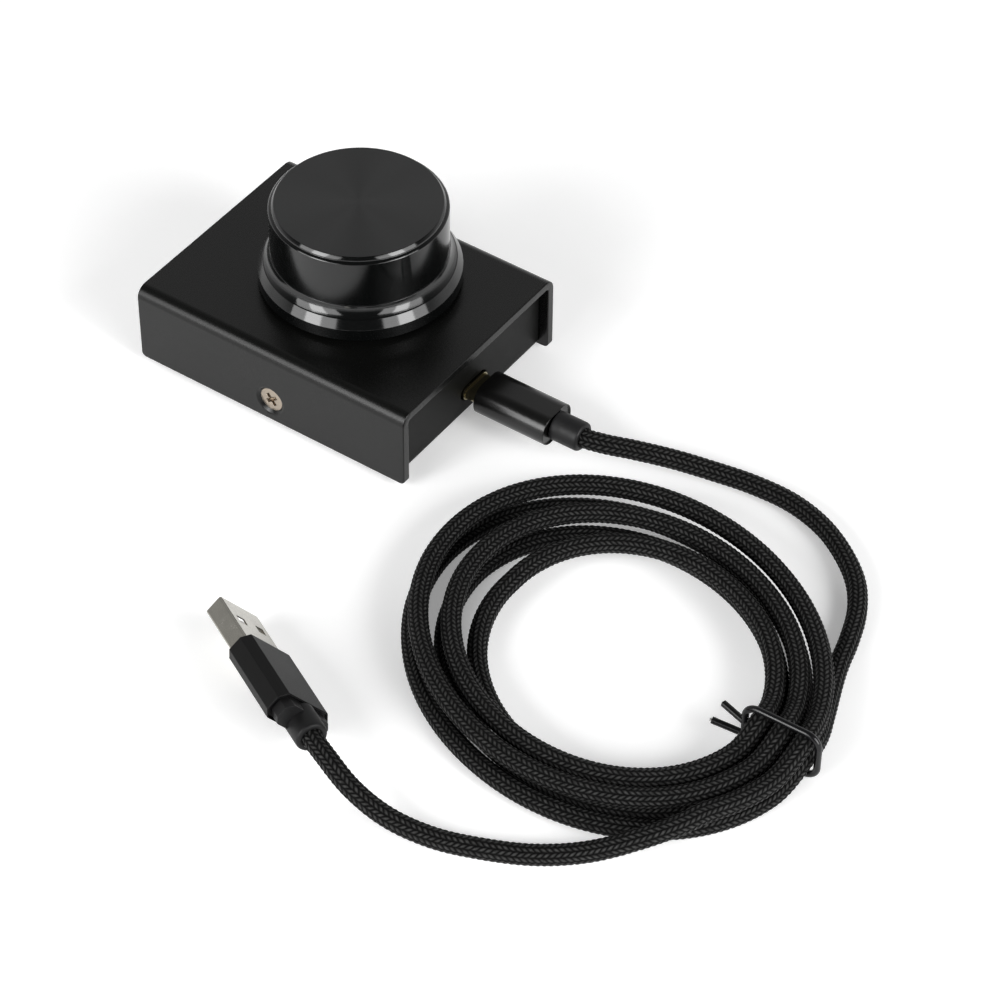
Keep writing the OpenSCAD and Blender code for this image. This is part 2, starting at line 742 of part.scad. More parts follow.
module knob() {
    color([0.06, 0.06, 0.065]) translate([knob_x, knob_y, knob_z]) difference() {
        rotate_extrude($fn = 144) knob_outline();
        difference() {
            translate([0, 0, -1]) cylinder(d = knob_recess_diameter, h = knob_recess_depth + 1);
            translate([0, 0, hub_setback]) cylinder(d = hub_diameter, h = knob_recess_depth + 2);
        }
        translate([0, 0, -1]) cylinder(r = shaft_r + knob_fit,
            h = shaft_top - flat_length - knob_z + 1, $fn = small_fn);
        translate([0, 0, shaft_top - flat_length - knob_z - eps])
            flatted_bar(shaft_r + knob_fit, shaft_flat + knob_fit, flat_length + shaft_head_room);
        translate([0, shaft_flat - 0.5, set_screw_height]) rotate([-90, 0, 0])
            cylinder(r = screw_r + thread_gap, h = knob_r, $fn = small_fn);
    }
}

module knob_set_screw() {
    color([0.1, 0.1, 0.1]) translate([knob_x, knob_y + shaft_flat, knob_z + set_screw_height])
        rotate([-90, 0, 0]) difference() {
            cylinder(r = screw_r, h = set_screw_length, $fn = small_fn);
            translate([0, 0, set_screw_length - hex_depth])
                cylinder(d = hex_width, h = hex_depth + 1, $fn = 6);
        }
}

// ---- Cord plug ----

module plug_tip() {
    color([0.72, 0.72, 0.7]) difference() {
        along_x(tip_x0, plug_x0 + tip_grip) translate([socket_y, socket_z]) oval(tip_width, tip_height);
        along_x(tip_x0 - 1, plug_x0 + tip_grip + 1) translate([socket_y, socket_z])
            oval(tip_width - 2 * tip_slot_wall, tip_height - 2 * tip_slot_wall);
    }
}

module plug_tip_core() {
    set_in = tip_slot_wall + seat_gap;
    color([0.05, 0.05, 0.05]) difference() {
        along_x(tip_x0 + tip_core_setback, plug_x0 + tip_grip) translate([socket_y, socket_z])
            oval(tip_width - 2 * set_in, tip_height - 2 * set_in);
        box([tip_x0, socket_y - tip_slot_width / 2, socket_z - tip_slot_height / 2],
            [socket_x1 - tongue_setback + tongue_end_gap, socket_y + tip_slot_width / 2,
             socket_z + tip_slot_height / 2]);
    }
}

module plug_body() {
    color([0.05, 0.05, 0.05]) difference() {
        union() {
            along_x(plug_x0 + plug_edge, plug_x1) translate([socket_y, socket_z])
                round_rect(plug_width, plug_height, plug_corner);
            along_x(plug_x0, plug_x1) translate([socket_y, socket_z])
                round_rect(plug_width - plug_edge, plug_height - plug_edge, plug_corner - plug_edge / 2);
        }
        along_x(plug_x0 - 1, plug_x0 + tip_grip) translate([socket_y, socket_z])
            oval(tip_width + 2 * seat_gap, tip_height + 2 * seat_gap);
    }
}

module plug_collar() {
    color([0.06, 0.06, 0.06]) translate([plug_x1, socket_y, socket_z]) rotate([0, 90, 0])
        rotate_extrude($fn = small_fn) polygon([[0, 0], [plug_collar_diameter / 2, 0],
            [plug_collar_diameter / 2, plug_collar_length - plug_collar_chamfer],
            [plug_collar_diameter / 2 - plug_collar_chamfer, plug_collar_length], [0, plug_collar_length]]);
}

// ---- Cord ----

function unit(v) = v / norm(v);

// Directions along a line of points, one for each point, with the end ones given
function directions(p, first, last) = [for (i = [0:len(p) - 1])
    i == 0 ? unit(first) : i == len(p) - 1 ? unit(last) : unit(p[i + 1] - p[i - 1])];

// One ring of a tube, square to the direction d
function ring(c, d, r, sides) = let (side = unit(cross([0, 0, 1], d)), up = cross(d, side))
    [for (k = [0:sides - 1]) let (a = (k + 0.5) * 360 / sides + 90 - 180 / sides * (sides % 2))
        c + r * (cos(a) * side + sin(a) * up)];

// Faces of a tube of n rings, all triangles, with both ends closed
function tube_faces(n, sides) = concat(
    [for (i = [0:n - 2], k = [0:sides - 1]) let (a = i * sides + k, b = i * sides + (k + 1) % sides)
        [a, a + sides, b]],
    [for (i = [0:n - 2], k = [0:sides - 1]) let (a = i * sides + k, b = i * sides + (k + 1) % sides)
        [b, a + sides, b + sides]],
    [for (k = [1:sides - 2]) [0, k, k + 1]],
    [for (k = [1:sides - 2]) let (o = (n - 1) * sides) [o, o + k + 1, o + k]]);

module tube(p, first, last, r, sides) {
    d = directions(p, first, last);
    polyhedron([for (i = [0:len(p) - 1]) each ring(p[i], d[i], r, sides)], tube_faces(len(p), sides));
}

// Smooth step from 0 to 1
function ease(x) = x <= 0 ? 0 : x >= 1 ? 1 : (1 - cos(180 * x)) / 2;

// An angle brought between -180 and 180
function near_angle(a) = a - 360 * floor((a + 180) / 360);

// A flat point turned by an angle
function turned(p, a) = [p[0] * cos(a) - p[1] * sin(a), p[0] * sin(a) + p[1] * cos(a)];

// The oval that the cord follows: share is 1 on the outermost one and 0 on the innermost
function oval_long(share) = coil_inner_long + (coil_outer_long - coil_inner_long) * share;
function oval_short(share) = coil_inner_short + (coil_outer_short - coil_inner_short) * share;
function oval_point(share, a) = coil_middle
    + turned([coil_shift * (1 - share) + oval_long(share) * cos(a), oval_short(share) * sin(a)], coil_lie);
function oval_heading(share, a) =
    let (h = turned([oval_long(share) * sin(a), -oval_short(share) * cos(a)], coil_lie))
    unit([h[0], h[1], 0]);

// Place of the coil at t turns: in on the lower layer, up a layer in the half turn where the
// spiral reverses, and out again on the upper one; all turns rise over the wire tie
function coil_share(t) = abs(2 * t / coil_turns - 1);
function coil_angle(t) = coil_start_angle - 360 * t;
function coil_rise(t) = let (off = abs(near_angle(coil_angle(t) - tie_angle)))
    off < tie_hump ? tie_lift * (1 + cos(180 * off / tie_hump)) / 2 : 0;
function coil_height(t) = cord_r + coil_rise(t)
    + coil_layer_step * ease((t - coil_turns / 2 + coil_climb) / (2 * coil_climb));
function coil_point(t) = let (p = oval_point(coil_share(t), coil_angle(t))) [p[0], p[1], coil_height(t)];

// At each end the cord runs straight and level for one diameter
coil_steps = round(coil_turns * coil_rings_per_turn);
coil_turn_points = [for (i = [0:coil_steps]) coil_point(i / coil_rings_per_turn)];
coil_first = oval_heading(1, coil_start_angle);
coil_last = oval_heading(1, coil_end_angle);
coil_in = coil_turn_points[0] - cord_diameter * coil_first;
coil_out = coil_turn_points[coil_steps] + cord_diameter * coil_last;
coil_points = concat([coil_in], coil_turn_points, [coil_out]);

// Least gap between one turn's points and another's, a half turn or more apart
coil_gap = min([for (i = [0:coil_steps - coil_rings_per_turn / 2])
    min([for (j = [i + coil_rings_per_turn / 2:coil_steps])
        norm(coil_turn_points[i] - coil_turn_points[j])])]) - cord_diameter;
echo(coil_gap = coil_gap);

function route_length(p) = len(p) < 2 ? 0
    : [for (i = 1, s = norm(p[1] - p[0]); i < len(p); i = i + 1,
            s = s + (i < len(p) ? norm(p[i] - p[i - 1]) : 0)) s][len(p) - 2];

module flat_plug_pose() {
    translate(flat_plug_place) rotate([flat_plug_roll, -flat_plug_tilt, flat_plug_turn]) children();
}

flat_plug_back = flat_shell_length + flat_grip_length + flat_taper_length;
flat_plug_dir = [cos(flat_plug_tilt) * cos(flat_plug_turn), cos(flat_plug_tilt) * sin(flat_plug_turn),
                 sin(flat_plug_tilt)];
lead_route = concat([[lead_x0, socket_y, socket_z]], lead_points, [coil_in]);
tail_route = concat([coil_out], tail_points, [flat_plug_place + flat_plug_back * flat_plug_dir]);
echo(cord_length = route_length(lead_route) + route_length(coil_points) + route_length(tail_route));

module cord_lead() {
    color([0.08, 0.08, 0.08]) tube(lead_route, [1, 0, 0], coil_first, cord_r, tube_sides);
}

module cord_coil() {
    color([0.08, 0.08, 0.08]) tube(coil_points, coil_first, coil_last, cord_r, coil_sides);
}

module cord_tail() {
    color([0.08, 0.08, 0.08]) tube(tail_route, coil_last, -flat_plug_dir, cord_r, tube_sides);
}

// ---- Wire tie round the coil ----

tie_r = tie_diameter / 2;
tie_corner = 3;
tie_low = tie_r;
tie_high = cord_diameter + coil_layer_step + tie_lift + tie_gap + tie_r;
tie_side = cord_r + tie_gap + tie_r;
tie_first_turn = (coil_start_angle - tie_angle) / 360;
tie_shares = [for (t = [tie_first_turn:coil_turns]) coil_share(t)];
tie_inner = oval_point(min(tie_shares), tie_angle);
tie_across = oval_point(max(tie_shares), tie_angle) - tie_inner;
tie_start = tie_inner - tie_side * unit(tie_across);
// The two cut ends: share of the height where each leaves, and its course from there
tie_ends = [[0.55, [-6.3, 1.7, 0.4]], [0.25, [-7.2, -1.3, 1]]];

// The tie's path in a wire of radius r with the given number of sides: a loop in an upright plane
// across the strands, and two ends that point into the coil, each reach longer than the tie's own
module tie_path(r, sides, reach = 0) {
    w = norm(tie_across) + 2 * tie_side;
    h = tie_high - tie_low;
    translate([tie_start[0], tie_start[1], tie_low])
        rotate([0, 0, atan2(tie_across[1], tie_across[0])]) {
            rotate([90, 0, 0]) {
                for (c = [[tie_corner, tie_corner, 180], [w - tie_corner, tie_corner, 270],
                          [w - tie_corner, h - tie_corner, 0], [tie_corner, h - tie_corner, 90]])
                    translate([c[0], c[1], 0]) rotate([0, 0, c[2]])
                        rotate_extrude(angle = 90, $fn = small_fn) translate([tie_corner, 0])
                            circle(r, $fn = sides);
                for (z = [0, h]) translate([tie_corner, z, 0]) rotate([0, 90, 0])
                    cylinder(r = r, h = w - 2 * tie_corner, $fn = sides);
                for (x = [0, w]) translate([x, tie_corner, 0]) rotate([-90, 0, 0])
                    cylinder(r = r, h = h - 2 * tie_corner, $fn = sides);
            }
            for (e = tie_ends) {
                d = unit(e[1]);
                translate([0, 0, e[0] * h]) rotate([0, acos(d[2]), atan2(d[1], d[0])])
                    cylinder(r = r, h = norm(e[1]) + reach, $fn = sides);
            }
        }
}

module tie_wire() {
    color([0.04, 0.04, 0.04]) difference() {
        tie_path(tie_r, 12);
        tie_path(tie_core_diameter / 2 + seat_gap, 8, reach = 1);
    }
}

module tie_wire_core() {
    color([0.8, 0.8, 0.78]) tie_path(tie_core_diameter / 2, 8);
}

// ---- Flat plug ----

// An outline w by h with four corners cut at 45 degrees
module cut_corners(w, h, c) {
    polygon([[w / 2 - c, h / 2], [-w / 2 + c, h / 2], [-w / 2, h / 2 - c], [-w / 2, -h / 2 + c],
             [-w / 2 + c, -h / 2], [w / 2 - c, -h / 2], [w / 2, -h / 2 + c], [w / 2, h / 2 - c]]);
}

module flat_plug_shell() {
    w = flat_shell_width;
    h = flat_shell_height;
    color([0.78, 0.77, 0.73]) flat_plug_pose() difference() {
        along_x(0, flat_shell_length + tip_grip) round_rect(w, h, flat_shell_corner);
        along_x(-1, flat_shell_length + tip_grip + 1)
            round_rect(w - 2 * shell_sheet, h - 2 * shell_sheet, flat_shell_corner - shell_sheet);
        for (s = [-1, 1]) translate([flat_window_x, s * flat_window_y, 0])
            cube([flat_window, flat_window, h + 2], center = true);
    }
}

module flat_plug_tongue() {
    w = flat_shell_width - 2 * shell_sheet - 2 * flat_tongue_side;
    low = -flat_shell_height / 2 + shell_sheet + seat_gap;
    color([0.88, 0.88, 0.86]) flat_plug_pose()
        box([flat_tongue_setback, -w / 2, low],
            [flat_shell_length + tip_grip, w / 2, low + flat_tongue_height]);
}

module flat_plug_contacts() {
    z = -flat_shell_height / 2 + shell_sheet + seat_gap + flat_tongue_height;
    color([0.85, 0.65, 0.25]) flat_plug_pose() for (i = [0:flat_contact_count - 1]) {
        y = (i - (flat_contact_count - 1) / 2) * flat_contact_pitch;
        box([flat_contact_setback, y - flat_contact_width / 2, z],
            [flat_contact_setback + flat_contact_length, y + flat_contact_width / 2,
             z + flat_contact_sheet]);
    }
}

module flat_plug_grip() {
    x0 = flat_shell_length;
    color([0.07, 0.07, 0.07]) flat_plug_pose() difference() {
        along_x(x0, x0 + flat_grip_length)
            cut_corners(flat_grip_width, flat_grip_height, flat_grip_chamfer);
        along_x(x0 - 1, x0 + tip_grip)
            round_rect(flat_shell_width + 2 * seat_gap, flat_shell_height + 2 * seat_gap,
                       flat_shell_corner);
    }
}

module flat_plug_taper() {
    x0 = flat_shell_length + flat_grip_length;
    color([0.06, 0.06, 0.06]) flat_plug_pose() hull() {
        along_x(x0, x0 + flat_taper_land) cut_corners(flat_grip_width - 2 * flat_taper_step,
            flat_grip_height - 2 * flat_taper_step, flat_grip_chamfer - flat_taper_step / 2);
        along_x(x0 + flat_taper_length - flat_taper_land, x0 + flat_taper_length)
            circle(flat_taper_r, $fn = 32);
    }
}

cover();
chassis();
cover_screws();
rubber_feet();
circuit_board();
board_standoffs();
board_screws();
controller_chip();
clock_crystal();
voltage_regulator();
small_chip_parts();
socket_shell();
socket_tongue();
socket_contacts();
encoder_base();
encoder_frame();
encoder_terminals();
click_rotor();
click_spring();
switch_dome();
switch_plunger();
encoder_shaft();
knob();
knob_set_screw();
plug_tip();
plug_tip_core();
plug_body();
plug_collar();
cord_lead();
cord_coil();
cord_tail();
tie_wire();
tie_wire_core();
flat_plug_shell();
flat_plug_tongue();
flat_plug_contacts();
flat_plug_grip();
flat_plug_taper();
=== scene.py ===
"""Desk volume knob with a detachable braided lead: the visible shapes and finishes around the
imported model. Sizes are in metres, in the same frame as the model, with +Z up from the desk."""

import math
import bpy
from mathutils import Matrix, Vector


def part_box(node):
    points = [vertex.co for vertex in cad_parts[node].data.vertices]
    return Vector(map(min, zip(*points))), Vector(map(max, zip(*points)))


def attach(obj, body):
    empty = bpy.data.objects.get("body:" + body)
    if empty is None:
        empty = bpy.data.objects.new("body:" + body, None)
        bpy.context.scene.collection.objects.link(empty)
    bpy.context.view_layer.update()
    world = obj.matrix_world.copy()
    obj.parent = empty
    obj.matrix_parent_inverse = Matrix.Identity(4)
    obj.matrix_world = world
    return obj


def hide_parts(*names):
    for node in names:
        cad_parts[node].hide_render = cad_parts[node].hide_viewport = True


bl_info = {
    "name": "Desk volume knob",
    "version": (1, 0, 0),
    "blender": (4, 5, 0),
    "location": "3D View > Sidebar > Volume Knob",
    "description": "Builds the case, the turned knob and the braided lead around the packed model",
    "category": "Object",
}

import bmesh
import bpy
import numpy as np
from bpy.props import FloatProperty, FloatVectorProperty, IntProperty, PointerProperty
from mathutils import Matrix, Vector

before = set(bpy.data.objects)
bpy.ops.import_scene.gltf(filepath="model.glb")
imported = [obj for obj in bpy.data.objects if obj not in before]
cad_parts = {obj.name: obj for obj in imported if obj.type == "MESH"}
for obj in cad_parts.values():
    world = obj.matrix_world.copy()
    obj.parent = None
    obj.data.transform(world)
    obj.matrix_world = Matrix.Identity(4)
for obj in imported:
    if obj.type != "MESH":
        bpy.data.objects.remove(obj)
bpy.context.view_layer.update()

MM = 0.001

# Camera: where it looks from in degrees, where it stands, and its lens in millimetres
CAMERA_AZIMUTH, CAMERA_ELEVATION, CAMERA_ROLL = 34.842, 44.260, 0.394
CAMERA_AT = (0.3821, -0.4893, 0.5591)
CAMERA_LENS, CAMERA_SENSOR = 135.0, 36.0

# Stage: two soft boxes, in degrees from the camera and over the desk, each with a hot middle
FLOOR_MIDDLE, LAMPS_AIM = (0.06, -0.04, 0.0), (0.05, -0.04, 0.0)
SOFT_BOX_SPREAD, SOFT_BOX_RISE, SOFT_BOX_HEIGHT = 51.0, 25.0, 0.72
SOFT_BOX_WIDTH, SOFT_BOX_AWAY = 1.05, 1.2
HOT_WIDTH, HOT_AWAY = 0.34, 1.18

# Knob, in millimetres: radii, heights over its foot, and the middle and radius of its flared waist
KNOB_AXIS = (1.2, 3.9)
KNOB_RIM, KNOB_GRIP, KNOB_TOP = 22.5, 19.65, 20.4
BORE_RADIUS, BORE_TOP, HUB_RADIUS, HUB_FOOT = 3.02, 11.6, 6.0, 0.4
WELL_RADIUS, WELL_TOP = 17.0, 2.4
FLARE_MIDDLE, FLARE_RADIUS = (23.71, 8.21), 4.05
SET_SCREW_HOLE, SET_SCREW_DEPTH, SET_SCREW_MIDDLE, SET_SCREW_HEIGHT = 1.55, 24.0, 13.5, 8.6

# Plugs, in millimetres. Blocks: start and end along X, half width, half height and cut corner
PLUG_CORNER = 3.45
GRIP_BLOCK = (14.2, 33.8, 7.65, 3.4, 1.7)
HOOD_BLOCK = (33.3, 36.4, 6.55, 2.6, 1.35)
HOOD_SLEEVE_START, HOOD_SLEEVE_RADIUS = 33.9, 3.42

# Tie, in millimetres: the covered wire, the loop's corners and its clearance round the cord. Ends:
# how high each leaves the loop, as a share, and its course, of which the cover takes a share
TIE_RADIUS, TIE_CORNER, TIE_GAP = 0.75, 3.0, 0.3
TIE_SIDES, TIE_CORNER_POINTS, TIE_END_POINTS = 20, 13, 9
TIE_ENDS = ((0.55, (-6.3, 1.7, 0.4)), (0.25, (-7.2, -1.3, 1.0)))
TIE_COVERED = 0.945
TIE_CORE_HOLE, TIE_CORE_DEPTH = 0.37, 0.4


# ---- Sizes and colours a user may change ----


def length(name, default, about):
    return FloatProperty(name=name, default=default, description=about, unit="LENGTH", precision=5)


def share(name, default, about):
    return FloatProperty(name=name, default=default, min=0.0, max=1.0, description=about)


def colour(name, default, about):
    return FloatVectorProperty(
        name=name, default=default, subtype="COLOR", min=0.0, max=1.0, description=about
    )


class StageSettings(bpy.types.PropertyGroup):
    floor_colour: colour("Floor", (0.93, 0.93, 0.93), "Colour of the floor")
    floor_size: length("Floor size", 6.0, "Width of the square floor")
    backdrop_glow: FloatProperty(
        name="Backdrop glow", default=0.26, description="Light that the floor adds for the eye"
    )
    horizon: FloatProperty(name="Horizon", default=1.0, description="Light of the sky at its foot")
    ceiling: FloatProperty(
        name="Ceiling", default=0.07, description="Light of the sky above and behind the camera"
    )
    soft_box_power: FloatProperty(
        name="Soft box power", default=11.5, unit="POWER", description="Power of each soft box"
    )
    hot_power: FloatProperty(
        name="Hot power", default=6.0, unit="POWER", description="Power of each soft box's middle"
    )


class CaseSettings(bpy.types.PropertyGroup):
    paint: colour("Paint", (0.0025, 0.0026, 0.0024), "Colour of the satin coating")
    gloss: share("Roughness", 0.28, "Roughness of the satin coating")
    cover_edge: length("Cover edge", 0.25 * MM, "Rounding of the cover's edges")
    chassis_edge: length("Chassis edge", 0.15 * MM, "Rounding of the chassis's edges")


class KnobSettings(bpy.types.PropertyGroup):
    anodising: colour("Anodising", (0.0015, 0.0017, 0.0017), "Colour of the turned knob")
    side_roughness: share("Side roughness", 0.12, "Roughness of the turned sides")
    top_roughness: share("Top roughness", 0.36, "Roughness of the spin-finished top")
    groove_pitch: length("Groove pitch", 0.16 * MM, "Pitch of the turning marks")
    steps_round: IntProperty(name="Steps round", default=192, description="Faces round the knob")


class CordSettings(bpy.types.PropertyGroup):
    diameter: length("Diameter", 4.4 * MM, "Diameter of the braided cord")
    nylon: colour("Nylon", (0.0048, 0.0048, 0.0047), "Colour of the braid")
    stitch: length("Stitch", 1.25 * MM, "Length of one stitch of the braid")
    relief: length("Relief", 0.2 * MM, "How far the stitches stand out")
    lean: FloatProperty(name="Lean", default=0.85, description="Slope of the stitches")
    columns: IntProperty(name="Columns", default=12, description="Columns of stitches round it")


class PlugSettings(bpy.types.PropertyGroup):
    body: colour("Body", (0.003, 0.003, 0.0028), "Colour of the cord plug's body")
    soft: colour("Soft parts", (0.012, 0.012, 0.0125), "Colour of the collar and the hood")
    grip: colour("Grip", (0.006, 0.006, 0.006), "Colour of the flat plug's grip")
    nickel: colour("Nickel", (0.37, 0.358, 0.32), "Colour of the plated shell and the screws")


# ---- Shapes ----


def facing(azimuth, elevation):
    """The direction toward a viewer at an azimuth and an elevation in degrees."""
    a, e = math.radians(azimuth), math.radians(elevation)
    return Vector((math.sin(a) * math.cos(e), -math.cos(a) * math.cos(e), math.sin(e)))


def linked(name, data):
    piece = bpy.data.objects.new(name, data)
    bpy.context.scene.collection.objects.link(piece)
    return piece


def clear_selection():
    if bpy.context.mode != "OBJECT":
        bpy.ops.object.mode_set(mode="OBJECT")
    bpy.ops.object.select_all(action="DESELECT")


def only(piece):
    """Makes a piece the one that the next operators act on."""
    clear_selection()
    piece.select_set(True)
    bpy.context.view_layer.objects.active = piece


def add(name, primitive, **sizes):
    """Adds a primitive by its operator, and leaves its place in its mesh."""
    clear_selection()
    primitive(**sizes)
    piece = bpy.context.active_object
    piece.name = piece.data.name = name
    bpy.ops.object.transform_apply(location=True, rotation=True, scale=True)
    return piece


def edit(piece, kind="FACE", action="DESELECT"):
    only(piece)
    bpy.ops.object.mode_set(mode="EDIT")
    bpy.ops.mesh.select_mode(type=kind)
    bpy.ops.mesh.select_all(action=action)


def pick_faces(piece, test):
    """Selects the faces whose middle and normal pass a test."""
    bpy.ops.mesh.select_all(action="DESELECT")
    mesh = bmesh.from_edit_mesh(piece.data)
    for face in mesh.faces:
        face.select_set(bool(test(face.calc_center_median(), face.normal)))
    mesh.select_flush_mode()
    bmesh.update_edit_mesh(piece.data)


def pick_edges(piece, test):
    """Selects the edges whose two ends pass a test."""
    bpy.ops.mesh.select_all(action="DESELECT")
    mesh = bmesh.from_edit_mesh(piece.data)
    for edge in mesh.edges:
        edge.select_set(bool(test(edge.verts[0].co, edge.verts[1].co)))
    mesh.select_flush_mode()
    bmesh.update_edit_mesh(piece.data)


def leave_edit():
    bpy.ops.object.mode_set(mode="OBJECT")


def face_outwards(piece):
    edit(piece, action="SELECT")
    bpy.ops.mesh.remove_doubles(threshold=1e-7)
    bpy.ops.mesh.normals_make_consistent(inside=False)
    leave_edit()


def apply_modifier(piece, kind, **settings):
    only(piece)
    modifier = piece.modifiers.new("finish", kind)
    for key, value in settings.items():
        setattr(modifier, key, value)
    bpy.ops.object.modifier_apply(modifier=modifier.name)


def round_edges(piece, radius, segments=3, angle=32):
    apply_modifier(
        piece,
        "BEVEL",
        width=radius,
        segments=segments,
        limit_method="ANGLE",
        angle_limit=math.radians(angle),
        use_clamp_overlap=False,
    )


def smooth(piece, angle=38, weighted=True):
    only(piece)
    bpy.ops.object.shade_smooth_by_angle(angle=math.radians(angle))
    if weighted:
        apply_modifier(piece, "WEIGHTED_NORMAL", keep_sharp=True, weight=100)


def place(piece, matrix):
    """Moves a piece's mesh, so that its object stays at the origin."""
    piece.data.transform(matrix)
    piece.data.update()


def settle(piece, body, slot, finish, *nodes):
    """Gives a finished piece its body and its material, and hides the nodes it stands for.
    Its slot is not used.
    """
    piece.data.materials.clear()
    for made in finish if isinstance(finish, (list, tuple)) else [finish]:
        piece.data.materials.append(made)
    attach(piece, body)
    if nodes:
        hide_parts(*nodes)


def rounded_copy(name, node, radius, segments=3):
    """A merged copy of a CAD node with its sharp edges rounded."""
    clear_selection()
    piece = linked(name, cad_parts[node].data.copy())
    piece.data.name = name
    only(piece)
    bpy.ops.mesh.customdata_custom_splitnormals_clear()
    edit(piece, action="SELECT")
    bpy.ops.mesh.remove_doubles(threshold=1e-6)
    bpy.ops.mesh.dissolve_limited(angle_limit=math.radians(0.5))
    leave_edit()
    round_edges(piece, radius, segments)
    edit(piece, action="SELECT")
    bpy.ops.mesh.remove_doubles(threshold=2e-6)
    bpy.ops.mesh.dissolve_degenerate(threshold=2e-6)
    bpy.ops.mesh.quads_convert_to_tris(quad_method="BEAUTY", ngon_method="BEAUTY")
    leave_edit()
    smooth(piece)
    return piece


def eased(profile, ease):
    """A profile in metres from one in millimetres, with each sharp corner cut by two short steps."""
    done = [profile[0]]
    for before, here, after in zip(profile, profile[1:], profile[2:]):
        corner = Vector(here)
        back, ahead = Vector(before) - corner, Vector(after) - corner
        if math.degrees((-back).angle(ahead)) < 20:
            done.append(here)
            continue
        reach = min(ease, 0.4 * back.length, 0.4 * ahead.length)
        near, far = corner + back.normalized() * reach, corner + ahead.normalized() * reach
        done += [tuple(near), tuple((near + far) / 4 + corner / 2), tuple(far)]
    return [(r * MM, z * MM) for r, z in done + [profile[-1]]]


def turned(name, centre, profile, steps):
    """A solid turned round an upright axis: a disc drawn out from one profile point to the next."""
    x, y, z = centre
    radius, height = profile[0]
    piece = add(
        name,
        bpy.ops.mesh.primitive_circle_add,
        vertices=steps,
        radius=radius,
        fill_type="NGON",
        location=(x, y, z + height),
    )
    edit(piece, action="SELECT")
    for (r0, z0), (r1, z1) in zip(profile, profile[1:]):
        bpy.ops.mesh.extrude_region_move(TRANSFORM_OT_translate={"value": (0, 0, z1 - z0)})
        bpy.ops.transform.resize(value=(r1 / r0, r1 / r0, 1), center_override=(x, y, z + z1))
    leave_edit()
    face_outwards(piece)
    return piece


def sleeve_along_x(name, at, profile):
    """A turned sleeve whose profile runs along X from a point."""
    piece = turned(name, (0, 0, 0), eased(profile, 0.05), 64)
    place(piece, Matrix.Translation(at) @ Matrix.Rotation(math.pi / 2, 4, "Y"))
    return piece


def bar(name, low, high, corner, segments):
    """A bar along X whose four long edges are rounded or cut."""
    low, high = Vector(low), Vector(high)
    piece = add(
        name,
        bpy.ops.mesh.primitive_cube_add,
        size=1.0,
        location=(low + high) / 2,
        scale=high - low,
    )
    edit(piece, "EDGE")
    pick_edges(piece, lambda a, b: abs(a.x - b.x) > 1e-6)
    bpy.ops.mesh.bevel(offset=corner, segments=segments, profile=0.5, affect="EDGES")
    leave_edit()
    return piece


def cut_block(name, start, end, half_width, half_height, corner):
    """A bar along X whose long edges are cut, from sizes in millimetres."""
    low, high = (start, -half_width, -half_height), (end, half_width, half_height)
    return bar(name, Vector(low) * MM, Vector(high) * MM, corner * MM, 1)


def sink_end(piece, toward, rim, depth):
    """Sinks the inner part of the end face that looks toward +X or -X behind a thin rim."""
    edit(piece)
    pick_faces(piece, lambda middle, normal: normal.x * toward > 0.99)
    bpy.ops.mesh.inset(thickness=rim, use_even_offset=True)
    bpy.ops.mesh.extrude_region_move(TRANSFORM_OT_translate={"value": (-toward * depth, 0, 0)})
    leave_edit()


# ---- Finishes ----


def node(tree, kind, inputs=None, **settings):
    """Adds a shader node, sets what it holds and feeds its inputs from values or other outputs."""
    made = tree.nodes.new("ShaderNode" + kind)
    for key, value in settings.items():
        setattr(made, key, value)
    for key, value in (inputs or {}).items():
        if isinstance(value, bpy.types.NodeSocket):
            tree.links.new(value, made.inputs[key])
        else:
            made.inputs[key].default_value = value
    return made


def calc(tree, operation, *values, clamp=False):
    """A Math node's output."""
    inputs = dict(enumerate(values))
    return node(tree, "Math", inputs, operation=operation, use_clamp=clamp).outputs[0]


def vector(tree, operation, *values):
    """A Vector Math node's output."""
    return node(tree, "VectorMath", dict(enumerate(values)), operation=operation).outputs[0]


def feed(tree, shader, name, output):
    """Links an output to one of a shader's named inputs."""
    tree.links.new(output, shader.inputs[name])


def new_finish(name, base, roughness, metallic=0.0, shine=0.5):
    """A material with its tree, its shader and its object coordinates in millimetres."""
    made = bpy.data.materials.new(name)
    made.use_nodes = True
    made.diffuse_color = (*base, 1.0)
    tree = made.node_tree
    shader = tree.nodes["Principled BSDF"]
    shader.inputs["Base Color"].default_value = (*base, 1.0)
    shader.inputs["Roughness"].default_value = roughness
    shader.inputs["Metallic"].default_value = metallic
    shader.inputs["Specular IOR Level"].default_value = shine
    place_in_object = node(tree, "TexCoord").outputs["Object"]
    return made, tree, shader, vector(tree, "MULTIPLY", place_in_object, (1 / MM,) * 3)


def noise(tree, where, scale, detail=3.0, roughness=0.55):
    return node(
        tree,
        "TexNoise",
        {"Vector": where, "Scale": scale, "Detail": detail, "Roughness": roughness},
    ).outputs["Fac"]


def stretched(tree, where, along):
    """Coordinates drawn out along one axis, for brushed marks."""
    return node(tree, "Mapping", {"Vector": where, "Scale": along}).outputs[0]


def span(tree, value, first, last, low, high, kind="LINEAR"):
    """A number that goes from low to high while a value goes from first to last."""
    inputs = {"Value": value, "From Min": first, "From Max": last, "To Min": low, "To Max": high}
    return node(tree, "MapRange", inputs, interpolation_type=kind).outputs[0]


def between(tree, factor, low, high):
    """A number that goes from low to high while a noise goes through its usual range."""
    return span(tree, factor, 0.3, 0.7, low, high)


